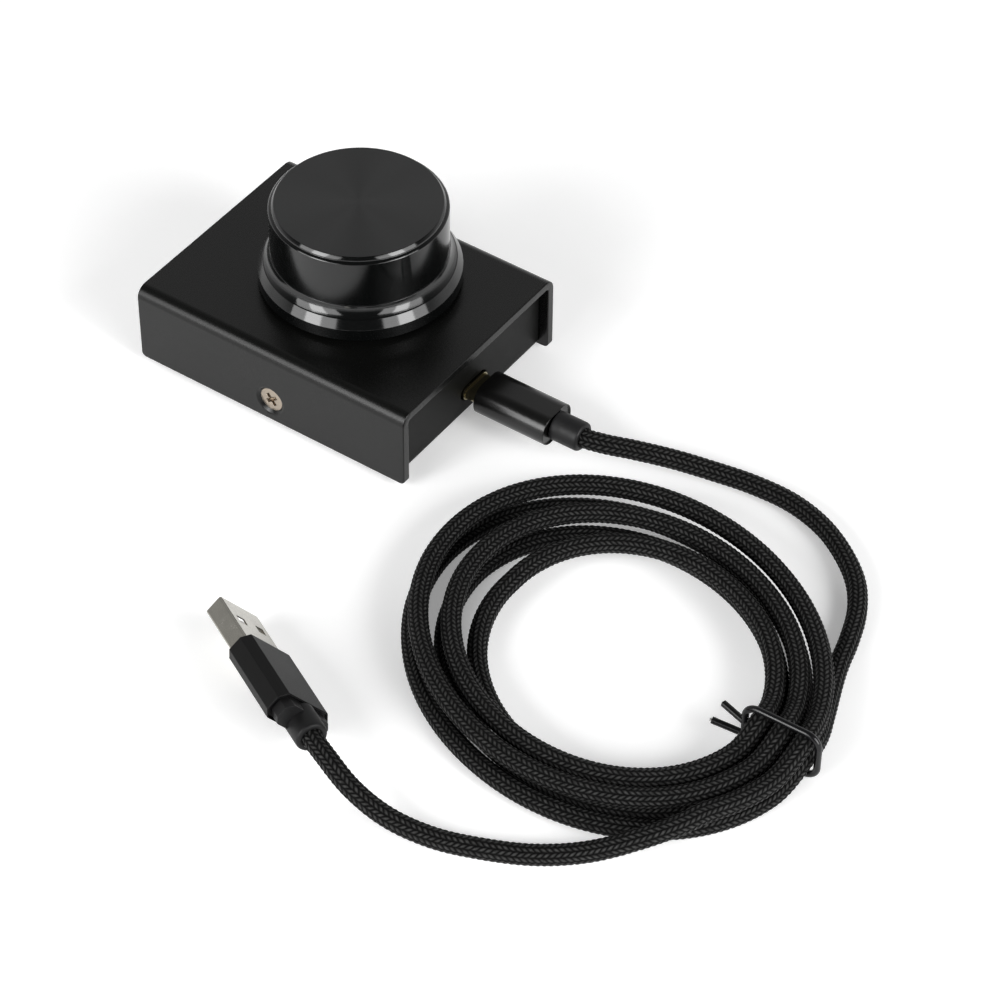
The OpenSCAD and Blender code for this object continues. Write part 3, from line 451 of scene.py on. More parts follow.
def shade(tree, shader, factor, low, high):
    """Feeds the base colour with one that goes from a low to a high colour with a factor."""
    mixed = node(tree, "Mix", data_type="RGBA")
    tree.links.new(factor, mixed.inputs[0])
    mixed.inputs[6].default_value = (*low, 1.0)
    mixed.inputs[7].default_value = (*high, 1.0)
    feed(tree, shader, "Base Color", mixed.outputs[2])


def raise_surface(tree, shader, height, distance):
    relief = node(tree, "Bump", {"Height": height, "Distance": distance, "Strength": 1.0})
    feed(tree, shader, "Normal", relief.outputs[0])


def tone(base, factor):
    return tuple(min(1.0, channel * factor) for channel in base)


def painted(name, base, roughness, shine=0.29):
    """Satin coating over folded sheet: fine orange peel, a little uneven in gloss."""
    made, tree, shader, where = new_finish(name, base, roughness, shine=shine)
    cloud = noise(tree, where, 0.05, 3.0)
    grain = noise(tree, where, 5.0, 2.0)
    shade(tree, shader, cloud, tone(base, 0.85), tone(base, 1.15))
    uneven = calc(tree, "ADD", between(tree, cloud, -0.02, 0.02), between(tree, grain, -0.03, 0.03))
    feed(tree, shader, "Roughness", calc(tree, "ADD", uneven, roughness))
    raise_surface(tree, shader, grain, 0.012 * MM)
    return made


def turning_marks(tree, radius, pitch):
    """Fine turning marks that follow a distance in millimetres, and how uneven they are."""
    ring = calc(tree, "SINE", calc(tree, "MULTIPLY", radius, 2 * math.pi * MM / pitch))
    wander = {"W": radius, "Scale": 3.5, "Detail": 4.0}
    uneven = node(tree, "TexNoise", wander, noise_dimensions="1D").outputs["Fac"]
    return calc(tree, "MULTIPLY_ADD", ring, 0.25, calc(tree, "MULTIPLY", uneven, 1.2)), uneven


def drawn_gloss(tree, shader, along, amount):
    """Draws the gloss out along a direction given in object coordinates."""
    turn = node(
        tree, "VectorTransform", {"Vector": along}, convert_from="OBJECT", convert_to="WORLD"
    )
    feed(tree, shader, "Tangent", turn.outputs[0])
    shader.inputs["Anisotropic"].default_value = amount


def turned_side(name, base, roughness, pitch):
    """Turned anodised metal: fine level rings, so that the gloss is drawn out upright."""
    made, tree, shader, where = new_finish(name, base, roughness)
    height = node(tree, "SeparateXYZ", {0: where}).outputs["Z"]
    marks, uneven = turning_marks(tree, height, pitch)
    drawn_gloss(tree, shader, (0.0, 0.0, 1.0), 0.85)
    smear = between(tree, noise(tree, where, 0.1, 3.0, 0.5), -0.015, 0.02)
    changed = calc(tree, "ADD", smear, between(tree, uneven, -0.01, 0.01))
    feed(tree, shader, "Roughness", calc(tree, "ADD", changed, roughness))
    raise_surface(tree, shader, marks, 0.0003 * MM)
    return made


def spun(name, base, roughness, axis, pitch):
    """Spin-finished metal: fine rings round an upright axis in millimetres, the gloss drawn out
    across them."""
    made, tree, shader, where = new_finish(name, base, roughness, shine=0.6)
    from_axis = vector(tree, "SUBTRACT", where, (*axis, 0.0))
    flat = vector(tree, "MULTIPLY", from_axis, (1.0, 1.0, 0.0))
    radius = node(tree, "VectorMath", {0: flat}, operation="LENGTH").outputs["Value"]
    marks, uneven = turning_marks(tree, radius, pitch)
    drawn_gloss(tree, shader, flat, 0.75)
    shade(tree, shader, uneven, tone(base, 0.8), tone(base, 1.3))
    feed(tree, shader, "Roughness", between(tree, uneven, roughness - 0.03, roughness + 0.04))
    raise_surface(tree, shader, marks, 0.004 * MM)
    return made


def moulded(name, base, roughness, grain=3.0, depth=0.01, uneven=0.045, shine=0.4):
    """Moulded plastic or rubber: fine texture with slightly uneven gloss."""
    made, tree, shader, where = new_finish(name, base, roughness, shine=shine)
    cloud = noise(tree, where, 0.25, 3.0)
    fine = noise(tree, where, grain, 3.0)
    shade(tree, shader, cloud, tone(base, 0.8), tone(base, 1.2))
    feed(tree, shader, "Roughness", between(tree, cloud, roughness - uneven, roughness + uneven))
    raise_surface(tree, shader, fine, depth * MM)
    return made


def plated(name, base, roughness, drawn=(1.0, 1.0, 1.0), grain=2.0):
    """Plated or bare metal: fine marks drawn along one way, and clouded gloss."""
    made, tree, shader, where = new_finish(name, base, roughness, metallic=1.0)
    marks = noise(tree, stretched(tree, where, drawn), grain, 4.0, 0.65)
    cloud = noise(tree, where, 0.35, 3.0)
    shade(tree, shader, cloud, tone(base, 0.9), tone(base, 1.05))
    uneven = calc(tree, "ADD", between(tree, cloud, -0.05, 0.06), between(tree, marks, -0.05, 0.05))
    feed(tree, shader, "Roughness", calc(tree, "ADD", uneven, roughness))
    raise_surface(tree, shader, marks, 0.004 * MM)
    return made


def laminate(name, mask, copper):
    """Circuit board: solder mask over a faint net of tracks, and a glass-weave edge."""
    made, tree, shader, where = new_finish(name, mask, 0.32)
    cells = node(tree, "TexVoronoi", {"Vector": where, "Scale": 0.38}, distance="MANHATTAN")
    track = calc(tree, "PINGPONG", cells.outputs["Distance"], 0.35)
    edge = calc(tree, "LESS_THAN", track, 0.09)
    shade(tree, shader, edge, mask, copper)
    weave = node(tree, "TexWave", {"Vector": where, "Scale": 1.6, "Distortion": 0.4}).outputs["Fac"]
    raise_surface(tree, shader, calc(tree, "MULTIPLY_ADD", weave, 0.15, edge), 0.03 * MM)
    return made


def bulge(tree, offset, power):
    """1 at the middle of a stitch and 0 at its edges, half a stitch away."""
    away = calc(tree, "MULTIPLY", calc(tree, "ABSOLUTE", offset), 2.0)
    return calc(tree, "SUBTRACT", 1.0, calc(tree, "POWER", away, power))


def braided(name, base, columns, lean):
    """Nylon braid read from the cord's own map: leaning stitches in staggered columns, each one of
    fine yarns, with painted shade in the gaps between them and a painted highlight on each top."""
    made, tree, shader, where = new_finish(name, base, 0.5, shine=0.1)
    at = node(tree, "SeparateXYZ", {0: node(tree, "UVMap", uv_map="braid").outputs[0]})
    across = calc(tree, "MULTIPLY", at.outputs["X"], float(columns))
    column = calc(tree, "FLOOR", across)
    x = calc(tree, "SUBTRACT", calc(tree, "FRACT", across), 0.5)
    odd = calc(tree, "MODULO", column, 2.0)
    side = calc(tree, "MULTIPLY_ADD", odd, 2.0, -1.0)
    leaned = calc(tree, "MULTIPLY_ADD", calc(tree, "MULTIPLY", x, side), lean, at.outputs["Y"])
    staggered = calc(tree, "MULTIPLY_ADD", odd, 0.5, leaned)
    y = calc(tree, "SUBTRACT", calc(tree, "FRACT", staggered), 0.5)
    dome = calc(tree, "MULTIPLY", bulge(tree, x, 2.5), bulge(tree, y, 2.0), clamp=True)
    yarn = calc(tree, "SINE", calc(tree, "MULTIPLY", y, 6 * 2 * math.pi))
    strand = between(tree, noise(tree, where, 1.1, 3.0, 0.6), 0.4, 1.5)
    # Painted light: the base colour goes from painted shade in the gaps to a painted highlight on the
    # stitch tops, stronger or weaker along each strand by noise.
    lit = calc(tree, "MULTIPLY", calc(tree, "POWER", dome, 2.6), strand, clamp=True)
    shade(tree, shader, lit, tone(base, 0.03), tone(base, 8.0))
    gloss = calc(tree, "SUBTRACT", 0.85, calc(tree, "MULTIPLY", dome, 0.5))
    feed(tree, shader, "Roughness", gloss)
    raise_surface(tree, shader, calc(tree, "MULTIPLY_ADD", yarn, 0.05, dome), 0.26 * MM)
    return made


# ---- Lines that the lead follows, in millimetres and degrees ----

CORD_D = 4.4
CORD_SEAT = 0.7  # how far each end of the cord sits inside its collar or hood
BRAID_PROUD = 0.04  # how far the stitches stand over the cord's own surface
RINGS_A_STITCH = 3.6

# The middles of the two free stretches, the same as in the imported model
LEAD_POINTS = [
    (62.5, 1.1, 7.73), (66.4, 1.7, 7.9), (72.8, 4.7, 7.1), (80.3, 8.7, 5.4), (88.4, 12, 3.8),
    (97.4, 14.5, 2.7), (107, 14.9, 2.3), (116.2, 12.4, 2.3), (124.2, 7.7, 2.3), (130.6, 1.9, 2.3),
    (134.8, -4.7, 2.3), (137.6, -12.2, 2.3), (139.8, -20.3, 2.3),
]
TAIL_POINTS = [
    (138.9, -77.3, 6.9), (133.8, -84.8, 6), (126.6, -91.4, 3.7), (118.2, -97, 2.4),
    (108.6, -101.8, 2.3), (98.6, -105.2, 2.4), (89, -107, 4), (80.5, -106.8, 6.7),
    (73.4, -104.8, 8.7),
]

# Where the flat plug's open end lies, how it is turned, and how far back its hood ends
FLAT_PLUG_PLACE = (32.4, -82.7, 5.9)
FLAT_PLUG_TURN, FLAT_PLUG_TILT, FLAT_PLUG_ROLL = -29.0, 4.3, -49.5
FLAT_PLUG_BACK = 41.0

# The coil: ovals that shrink and shift as the cord goes in on the lower layer, then grow back on
# the upper one. At the tie the cord humps up over the wire below it.
COIL_MIDDLE = np.array([99.6, -44.0])
COIL_LIE = math.radians(-25.0)
COIL_OUTER = (50.3, 41.2)
COIL_INNER = (32.0, 27.6)
COIL_SHIFT = 5.0
COIL_START, COIL_END = 40.0, -5.0
COIL_TURNS = 5 + (COIL_START - COIL_END) / 360
COIL_CLIMB = 0.25
COIL_STEP = 4.85
COIL_SAMPLES = 2400
TIE_ANGLE, TIE_HUMP, TIE_LIFT = 25.0, 15.0, 1.8


def flat_plug_pose():
    """From the flat plug's own axes, X from its open end to the cord, to its place on the desk."""
    return (
        Matrix.Translation(Vector(FLAT_PLUG_PLACE) * MM)
        @ Matrix.Rotation(math.radians(FLAT_PLUG_TURN), 4, "Z")
        @ Matrix.Rotation(math.radians(-FLAT_PLUG_TILT), 4, "Y")
        @ Matrix.Rotation(math.radians(FLAT_PLUG_ROLL), 4, "X")
    )


def swung(x, y):
    c, s = math.cos(COIL_LIE), math.sin(COIL_LIE)
    return np.array([x * c - y * s, x * s + y * c])


def coil_place(share_out, angle):
    """Where an angle meets the oval at a share of the way from the inner to the outer one."""
    long = COIL_INNER[0] + (COIL_OUTER[0] - COIL_INNER[0]) * share_out
    short = COIL_INNER[1] + (COIL_OUTER[1] - COIL_INNER[1]) * share_out
    a, shift = math.radians(angle), COIL_SHIFT * (1 - share_out)
    return COIL_MIDDLE + swung(shift + long * math.cos(a), short * math.sin(a))


def coil_share(t):
    """How far out the cord lies at t turns: 1 at both ends of the coil and 0 half way."""
    return abs(2 * t / COIL_TURNS - 1)


def coil_point(t):
    """Middle of the cord at t turns: in on the lower layer, out again on the upper one."""
    angle = COIL_START - 360 * t
    x, y = coil_place(coil_share(t), angle)
    off = abs((angle - TIE_ANGLE + 180) % 360 - 180)
    rise = TIE_LIFT * (1 + math.cos(math.pi * off / TIE_HUMP)) / 2 if off < TIE_HUMP else 0.0
    climb = min(1.0, max(0.0, (t - COIL_TURNS / 2 + COIL_CLIMB) / (2 * COIL_CLIMB)))
    return np.array([x, y, CORD_D / 2 + rise + COIL_STEP * (1 - math.cos(math.pi * climb)) / 2])


def coil_heading(angle):
    a = math.radians(angle)
    x, y = swung(COIL_OUTER[0] * math.sin(a), -COIL_OUTER[1] * math.cos(a))
    return np.array([x, y, 0.0]) / math.hypot(x, y)


def curve_through(points, first, last, step):
    """Points about a quarter of a step apart on a smooth curve through the given ones."""
    p = np.array(points, float)
    gaps = np.linalg.norm(np.diff(p, axis=0), axis=1)
    slopes = np.zeros_like(p)
    for i in range(1, len(p) - 1):
        before, after = (p[i] - p[i - 1]) / gaps[i - 1], (p[i + 1] - p[i]) / gaps[i]
        slopes[i] = (before * gaps[i] + after * gaps[i - 1]) / (gaps[i] + gaps[i - 1])
    slopes[0], slopes[-1] = np.array(first, float), np.array(last, float)
    done = []
    for i, gap in enumerate(gaps):
        for t in np.linspace(0, 1, max(2, int(round(gap / (step / 4)))), endpoint=False):
            h = (2 * t**3 - 3 * t**2 + 1, t**3 - 2 * t**2 + t, -2 * t**3 + 3 * t**2, t**3 - t**2)
            near = h[0] * p[i] + h[1] * gap * slopes[i]
            done.append(near + h[2] * p[i + 1] + h[3] * gap * slopes[i + 1])
    return np.array(done + [p[-1]])


def steps_along(line):
    """The distance along a line at each of its points."""
    return np.concatenate([[0], np.cumsum(np.linalg.norm(np.diff(line, axis=0), axis=1))])


def even_steps(line, step):
    """The same line with its points the same distance apart, close to a step."""
    run = steps_along(line)
    count = max(2, int(round(run[-1] / step)) + 1)
    at = np.linspace(0, run[-1], count)
    return np.stack([np.interp(at, run, line[:, k]) for k in range(3)], axis=1)


def lead_line(step):
    """The middle of the whole lead in millimetres, from inside the collar to inside the hood."""
    first, last = coil_heading(COIL_START), coil_heading(COIL_END)
    turns = [coil_point(t) for t in np.linspace(0, COIL_TURNS, COIL_SAMPLES)]
    coil_in, coil_out = turns[0] - CORD_D * first, turns[-1] + CORD_D * last
    pose = flat_plug_pose()
    plug_end = np.array(pose @ Vector((FLAT_PLUG_BACK * MM, 0, 0))) / MM
    plug_way = np.array(pose.to_3x3() @ Vector((1, 0, 0)))
    lead = curve_through([*LEAD_POINTS, coil_in], (1, 0, 0), first, step)
    tail = curve_through([coil_out, *TAIL_POINTS, plug_end], last, -plug_way, step)
    collar_end = lead[0] - (CORD_SEAT, 0, 0)
    hood_end = tail[-1] - CORD_SEAT * plug_way
    return even_steps(np.array([collar_end, *lead, *turns, *tail, hood_end]), step)


def tube(name, line, radii, sides, along=None):
    """A closed tube round a line in millimetres, with a ring of radii at each point. With along, its
    map "braid" holds the share of a turn and the stitches counted along the line."""
    line = np.array(line, float)
    ways = np.gradient(line, axis=0)
    ways /= np.linalg.norm(ways, axis=1)[:, None]
    flat = np.cross(np.array([0, 0, 1.0]), ways)
    flat /= np.linalg.norm(flat, axis=1)[:, None]
    upward = np.cross(ways, flat)
    turn = (np.arange(sides) * 2 * math.pi / sides)[None, :, None]
    hoops = np.cos(turn) * flat[:, None, :] + np.sin(turn) * upward[:, None, :]
    hoops = (line[:, None, :] + radii[:, :, None] * hoops) * MM
    count = len(line)
    i, k = np.meshgrid(np.arange(count - 1), np.arange(sides), indexing="ij")
    a, b = i * sides + k, i * sides + (k + 1) % sides
    faces = np.stack([a, b, b + sides, a + sides], axis=2).reshape(-1, 4).tolist()
    faces += [list(range(sides))[::-1], list(range((count - 1) * sides, count * sides))]
    mesh = bpy.data.meshes.new(name)
    mesh.from_pydata(hoops.reshape(-1, 3).tolist(), [], faces)
    if along is not None:
        u = np.stack([k, k + 1, k + 1, k], axis=2).reshape(-1) / sides
        v = np.stack([along[i], along[i], along[i + 1], along[i + 1]], axis=2).reshape(-1)
        at = np.concatenate([np.stack([u, v], axis=1), np.zeros((2 * sides, 2))])
        mesh.uv_layers.new(name="braid").data.foreach_set("uv", at.astype(np.float32).reshape(-1))
    mesh.update()
    piece = linked(name, mesh)
    only(piece)
    bpy.ops.object.shade_smooth_by_angle(angle=math.radians(75))
    return piece


def ring_tube(name, line, radius, sides):
    """A tube round a closed upright line in millimetres."""
    ways = np.roll(line, -1, axis=0) - np.roll(line, 1, axis=0)
    ways /= np.linalg.norm(ways, axis=1)[:, None]
    plane = np.cross(ways[0], ways[len(line) // 4])
    plane /= np.linalg.norm(plane)
    inward = np.cross(plane[None, :], ways)
    turn = (np.arange(sides) * 2 * math.pi / sides)[None, :, None]
    hoops = np.cos(turn) * inward[:, None, :] + np.sin(turn) * plane
    hoops = (line[:, None, :] + radius * hoops) * MM
    i, k = np.meshgrid(np.arange(len(line)), np.arange(sides), indexing="ij")
    here, ahead, beside = i * sides, (i + 1) % len(line) * sides, (k + 1) % sides
    faces = np.stack([here + k, ahead + k, ahead + beside, here + beside], axis=2)
    mesh = bpy.data.meshes.new(name)
    mesh.from_pydata(hoops.reshape(-1, 3).tolist(), [], faces.reshape(-1, 4).tolist())
    piece = linked(name, mesh)
    face_outwards(piece)
    smooth(piece, 60, weighted=False)
    return piece


def stitch_radii(run, settings, sides):
    """Radius of the braid at each ring and side: domed stitches in staggered columns."""
    across = np.arange(sides) * settings.columns / sides
    column = np.floor(across)
    x = (across - column - 0.5)[None, :]
    odd = (column % 2)[None, :]
    v = (run * MM / settings.stitch)[:, None] + 0.5 * odd + settings.lean * x * (2 * odd - 1)
    y = v - np.floor(v) - 0.5
    dome = np.clip((1 - 0.75 * np.abs(2 * x) ** 2.5) * (1 - (2 * y) ** 2), 0, 1)
    top, relief = settings.diameter / 2 / MM + BRAID_PROUD, settings.relief / MM
    return top - relief + relief * dome


def tie_end(name, line):
    """A cut end of the covered wire, with a hole that its steel core comes out of."""
    radii = np.full((len(line), TIE_SIDES), TIE_RADIUS)
    end = tube(name, line, radii, TIE_SIDES)
    tip, ahead = Vector(line[-1]) * MM, Vector(line[-1] - line[0]).normalized()
    edit(end)
    pick_faces(end, lambda middle, normal: (middle - tip).length < 1e-5)
    bpy.ops.mesh.inset(thickness=(TIE_RADIUS - TIE_CORE_HOLE) * MM)
    inward = -ahead * TIE_CORE_DEPTH * MM
    bpy.ops.mesh.extrude_region_move(TRANSFORM_OT_translate={"value": inward})
    leave_edit()
    smooth(end, 50, weighted=False)
    return end


def knob_profile():
    """The knob's half section: from the bore, under the skirt, up the flared side, over the top."""
    rim, grip = KNOB_RIM, KNOB_GRIP
    under = [
        (BORE_RADIUS, BORE_TOP), (BORE_RADIUS, HUB_FOOT), (HUB_RADIUS, HUB_FOOT),
        (HUB_RADIUS, WELL_TOP), (WELL_RADIUS, WELL_TOP), (WELL_RADIUS, 0.0),
    ]
    skirt = [(rim - 0.3, 0.0), (rim, 0.3), (rim, 3.1), (rim - 1.22, 5.08), (21.12, 5.08)]
    flare = [
        (FLARE_MIDDLE[0] - FLARE_RADIUS * math.cos(a), FLARE_MIDDLE[1] - FLARE_RADIUS * math.sin(a))
        for a in np.radians(np.linspace(48, 9, 10))
    ]
    groove = [(grip, 7.62), (grip - 0.12, 7.68), (grip - 0.12, 7.76), (grip, 7.82)]
    over = [
        (grip, 19.08), (grip - 0.25, 19.33), (18.95, 19.46), (18.88, 19.72), (18.4, KNOB_TOP),
        (0.4, KNOB_TOP),
    ]
    return under + skirt + flare + groove + over


def hood_piece(name):
    """The hood behind the grip: a cut-corner block with a round sleeve that comes out of it."""
    hood = cut_block(name, *HOOD_BLOCK)
    round_edges(hood, 0.12 * MM, 2, 25)
    radius, run = HOOD_SLEEVE_RADIUS, FLAT_PLUG_BACK - HOOD_SLEEVE_START
    profile = [
        (0.4, 0.0), (radius, 0.0), (radius, run - 0.7), (3.3, run - 0.3), (3.05, run - 0.07),
        (2.75, run), (2.3, run), (2.2, run - 0.3), (0.4, run - 0.3),
    ]
    sleeve = sleeve_along_x("hood_sleeve", (HOOD_SLEEVE_START * MM, 0, 0), profile)
    apply_modifier(hood, "BOOLEAN", operation="UNION", object=sleeve, solver="EXACT")
    bpy.data.objects.remove(sleeve)
    face_outwards(hood)
    smooth(hood, 35)
    return hood


# ---- Operators: one for each piece or group of like pieces ----


class PlaceCamera(bpy.types.Operator):
    """Sets the camera where the photograph was taken from"""

    bl_idname = "volume_knob.place_camera"
    bl_label = "Camera"

    def execute(self, context):
        roll = math.radians(CAMERA_ROLL)
        back = facing(CAMERA_AZIMUTH, CAMERA_ELEVATION)
        right = facing(CAMERA_AZIMUTH + 90, 0)
        up = back.cross(right)
        across = math.cos(roll) * right + math.sin(roll) * up
        upright = -math.sin(roll) * right + math.cos(roll) * up
        lens = bpy.data.cameras.new("camera")
        lens.sensor_width = CAMERA_SENSOR
        lens.lens = CAMERA_LENS
        lens.clip_start, lens.clip_end = 0.01, 20.0
        camera = linked("camera", lens)
        turn = Matrix((across, upright, back)).transposed().to_4x4()
        camera.matrix_world = Matrix.Translation(CAMERA_AT) @ turn
        context.scene.camera = camera
        return {"FINISHED"}


class BuildCord(bpy.types.Operator):
    """Lays the braided lead: the stretch from the plug, the coil in two layers, and the far stretch"""

    bl_idname = "volume_knob.build_cord"
    bl_label = "Braided lead"

    def execute(self, context):
        settings = context.scene.volume_knob_cord
        sides = 2 * settings.columns
        stitch = settings.stitch / MM
        line = lead_line(stitch / RINGS_A_STITCH)
        run = steps_along(line)
        cord = tube("braided_cord", line, stitch_radii(run, settings, sides), sides, run / stitch)
        finish = braided("black_braid", settings.nylon, settings.columns, settings.lean)
        settle(cord, "lead", "black_braid", finish, "cord_lead", "cord_coil", "cord_tail")
        return {"FINISHED"}


class BuildTie(bpy.types.Operator):
    """Closes the covered wire tie round the coil, with its two cut ends"""

    bl_idname = "volume_knob.build_tie"
    bl_label = "Wire tie"

    def execute(self, context):
        finish = moulded("tie_sleeve", (0.004, 0.004, 0.0045), 0.24, 2.0, 0.004, shine=0.3)
        corner, low = TIE_CORNER, TIE_RADIUS
        side = CORD_D / 2 + TIE_GAP + TIE_RADIUS
        shares = [coil_share((COIL_START - TIE_ANGLE) / 360 + turn) for turn in range(6)]
        inner, outer = coil_place(min(shares), TIE_ANGLE), coil_place(max(shares), TIE_ANGLE)
        across = float(np.linalg.norm(outer - inner))
        way = (outer - inner) / across
        width, height = across + 2 * side, CORD_D + COIL_STEP + TIE_LIFT + TIE_GAP

        def at(along, up):
            return np.array([*(inner + (along - side) * way), low + up])

        corners = [
            (width - corner, height - corner, 0), (corner, height - corner, 90),
            (corner, corner, 180), (width - corner, corner, 270),
        ]
        ring = [
            at(x + corner * math.cos(a), z + corner * math.sin(a))
            for x, z, first in corners
            for a in np.radians(np.linspace(first, first + 90, TIE_CORNER_POINTS))
        ]
        loop = ring_tube("tie_loop", np.array(ring), TIE_RADIUS, TIE_SIDES)
        turn = Matrix.Rotation(math.atan2(way[1], way[0]), 3, "Z")
        pieces = [loop]
        for number, (up, course) in enumerate(TIE_ENDS):
            course = np.array(turn @ Vector(course))
            steps = np.linspace(0, TIE_COVERED, TIE_END_POINTS)
            line = np.array([at(0, up * height) + course * t for t in steps])
            pieces.append(tie_end(f"tie_end_{number}", line))
        only(loop)
        for piece in pieces:
            piece.select_set(True)
        bpy.ops.object.join()
        settle(loop, "lead", "tie_sleeve", finish, "tie_wire")
        return {"FINISHED"}


class BuildKnob(bpy.types.Operator):
    """Turns the large knob, with its grooved skirt, polished sides, spun top and bored hub"""

    bl_idname = "volume_knob.build_knob"
    bl_label = "Knob"

    def execute(self, context):
        settings = context.scene.volume_knob_knob
        x, y = (value * MM for value in KNOB_AXIS)
        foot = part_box("knob")[0].z
        piece = turned(
            "turned_knob", (x, y, foot), eased(knob_profile(), 0.06), settings.steps_round
        )
        hole = add(
            "set_screw_hole",
            bpy.ops.mesh.primitive_cylinder_add,
            vertices=48,
            radius=SET_SCREW_HOLE * MM,
            depth=SET_SCREW_DEPTH * MM,
            rotation=(math.pi / 2, 0, 0),
            location=(x, y + SET_SCREW_MIDDLE * MM, foot + SET_SCREW_HEIGHT * MM),
        )
        apply_modifier(piece, "BOOLEAN", operation="DIFFERENCE", object=hole, solver="EXACT")
        bpy.data.objects.remove(hole)
        smooth(piece, 30)
        black, pitch = settings.anodising, settings.groove_pitch
        side = turned_side("knob_turned", black, settings.side_roughness, pitch)
        top = spun("knob_spun", black, settings.top_roughness, KNOB_AXIS, pitch)
        settle(piece, "knob", "knob_black", [side, top], "knob")
        for face in piece.data.polygons:
            on_top = face.center.z > foot + (KNOB_TOP - 0.02) * MM and face.normal.z > 0.95
            face.material_index = 1 if on_top else 0
        return {"FINISHED"}


class BuildCase(bpy.types.Operator):
    """Gives the folded cover and the chassis eased edges and a satin coating"""

    bl_idname = "volume_knob.build_case"
    bl_label = "Case"

    def execute(self, context):
        settings = context.scene.volume_knob_case
        paint, gloss = settings.paint, settings.gloss
        cover = rounded_copy("folded_cover", "cover", settings.cover_edge)
        settle(cover, "case", "cover_paint", painted("cover_paint", paint, gloss), "cover")
        chassis = rounded_copy("folded_chassis", "chassis", settings.chassis_edge)
        satin = painted("chassis_paint", paint, gloss + 0.2, 0.13)
        settle(chassis, "case", "chassis_paint", satin, "chassis")
        return {"FINISHED"}


class BuildScrews(bpy.types.Operator):
    """Finishes the two cross-head screws in the cover's flanges"""

    bl_idname = "volume_knob.build_screws"
    bl_label = "Cover screws"

    def execute(self, context):
        nickel = context.scene.volume_knob_plug.nickel
        screws = rounded_copy("cross_head_screws", "cover_screws", 0.07 * MM, 2)
        warm = (nickel[0] * 1.05, nickel[1] * 0.93, nickel[2] * 0.85)
        finish = plated("screw_nickel", warm, 0.3, grain=3.0)
        settle(screws, "case", "nickel", finish, "cover_screws")
        return {"FINISHED"}


class BuildCordPlug(bpy.types.Operator):
    """Shapes the cord plug's body and the short collar behind it"""

    bl_idname = "volume_knob.build_cord_plug"
    bl_label = "Cord plug"

    def execute(self, context):
        settings = context.scene.volume_knob_plug
        low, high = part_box("plug_body")
        body = bar("plug_shell", low, high, PLUG_CORNER * MM, 12)
        sink_end(body, 1, 0.3 * MM, 0.35 * MM)
        face_outwards(body)
        round_edges(body, 0.14 * MM, 3, 40)
        smooth(body, 40)
        glossy = moulded("plug_black", settings.body, 0.25, 4.0, 0.001, 0.012, 0.45)
        settle(body, "lead", "plug_black", glossy, "plug_body")

        low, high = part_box("plug_collar")
        run = (high.x - low.x) / MM
        profile = [
            (0.4, 0.0), (3.2, 0.0), (3.35, 0.15), (3.35, run - 0.75), (3.22, run - 0.3),
            (2.95, run - 0.06), (2.7, run), (2.28, run), (2.2, run - 0.3), (0.4, run - 0.3),
        ]
        foot = (low.x, (low.y + high.y) / 2, (low.z + high.z) / 2)
        collar = sleeve_along_x("plug_collar_sleeve", foot, profile)
        smooth(collar, 40)
        soft = moulded("soft_black", tone(settings.soft, 0.7), 0.5, 1.6, 0.03, 0.12, 0.22)
        settle(collar, "lead", "soft_black", soft, "plug_collar")
        return {"FINISHED"}


class BuildFlatPlug(bpy.types.Operator):
    """Shapes the flat plug: plated shell, cut-corner grip with sunk ends, and the hood behind it"""

    bl_idname = "volume_knob.build_flat_plug"
    bl_label = "Flat plug"

    def execute(self, context):
        settings = context.scene.volume_knob_plug
        pose = flat_plug_pose()
        shell = rounded_copy("flat_plug_sheet", "flat_plug_shell", 0.05 * MM, 2)
        bright = plated("shell_nickel", settings.nickel, 0.2, grain=1.2)
        settle(shell, "lead", "nickel", bright, "flat_plug_shell")

        grip = cut_block("flat_plug_handle", *GRIP_BLOCK)
        sink_end(grip, 1, 0.35 * MM, 0.5 * MM)
        sink_end(grip, -1, 0.45 * MM, 0.3 * MM)
        face_outwards(grip)
        round_edges(grip, 0.16 * MM, 3, 25)
        smooth(grip, 30)
        place(grip, pose)
        satin = painted("black_aluminium", settings.grip, 0.42, 0.09)
        settle(grip, "lead", "black_aluminium", satin, "flat_plug_grip")

        hood = hood_piece("flat_plug_hood")
        place(hood, pose)
        soft = moulded("hood_black", tone(settings.soft, 0.45), 0.5, 3.0, 0.01, shine=0.22)
        settle(hood, "lead", "soft_black", soft, "flat_plug_taper")
        return {"FINISHED"}


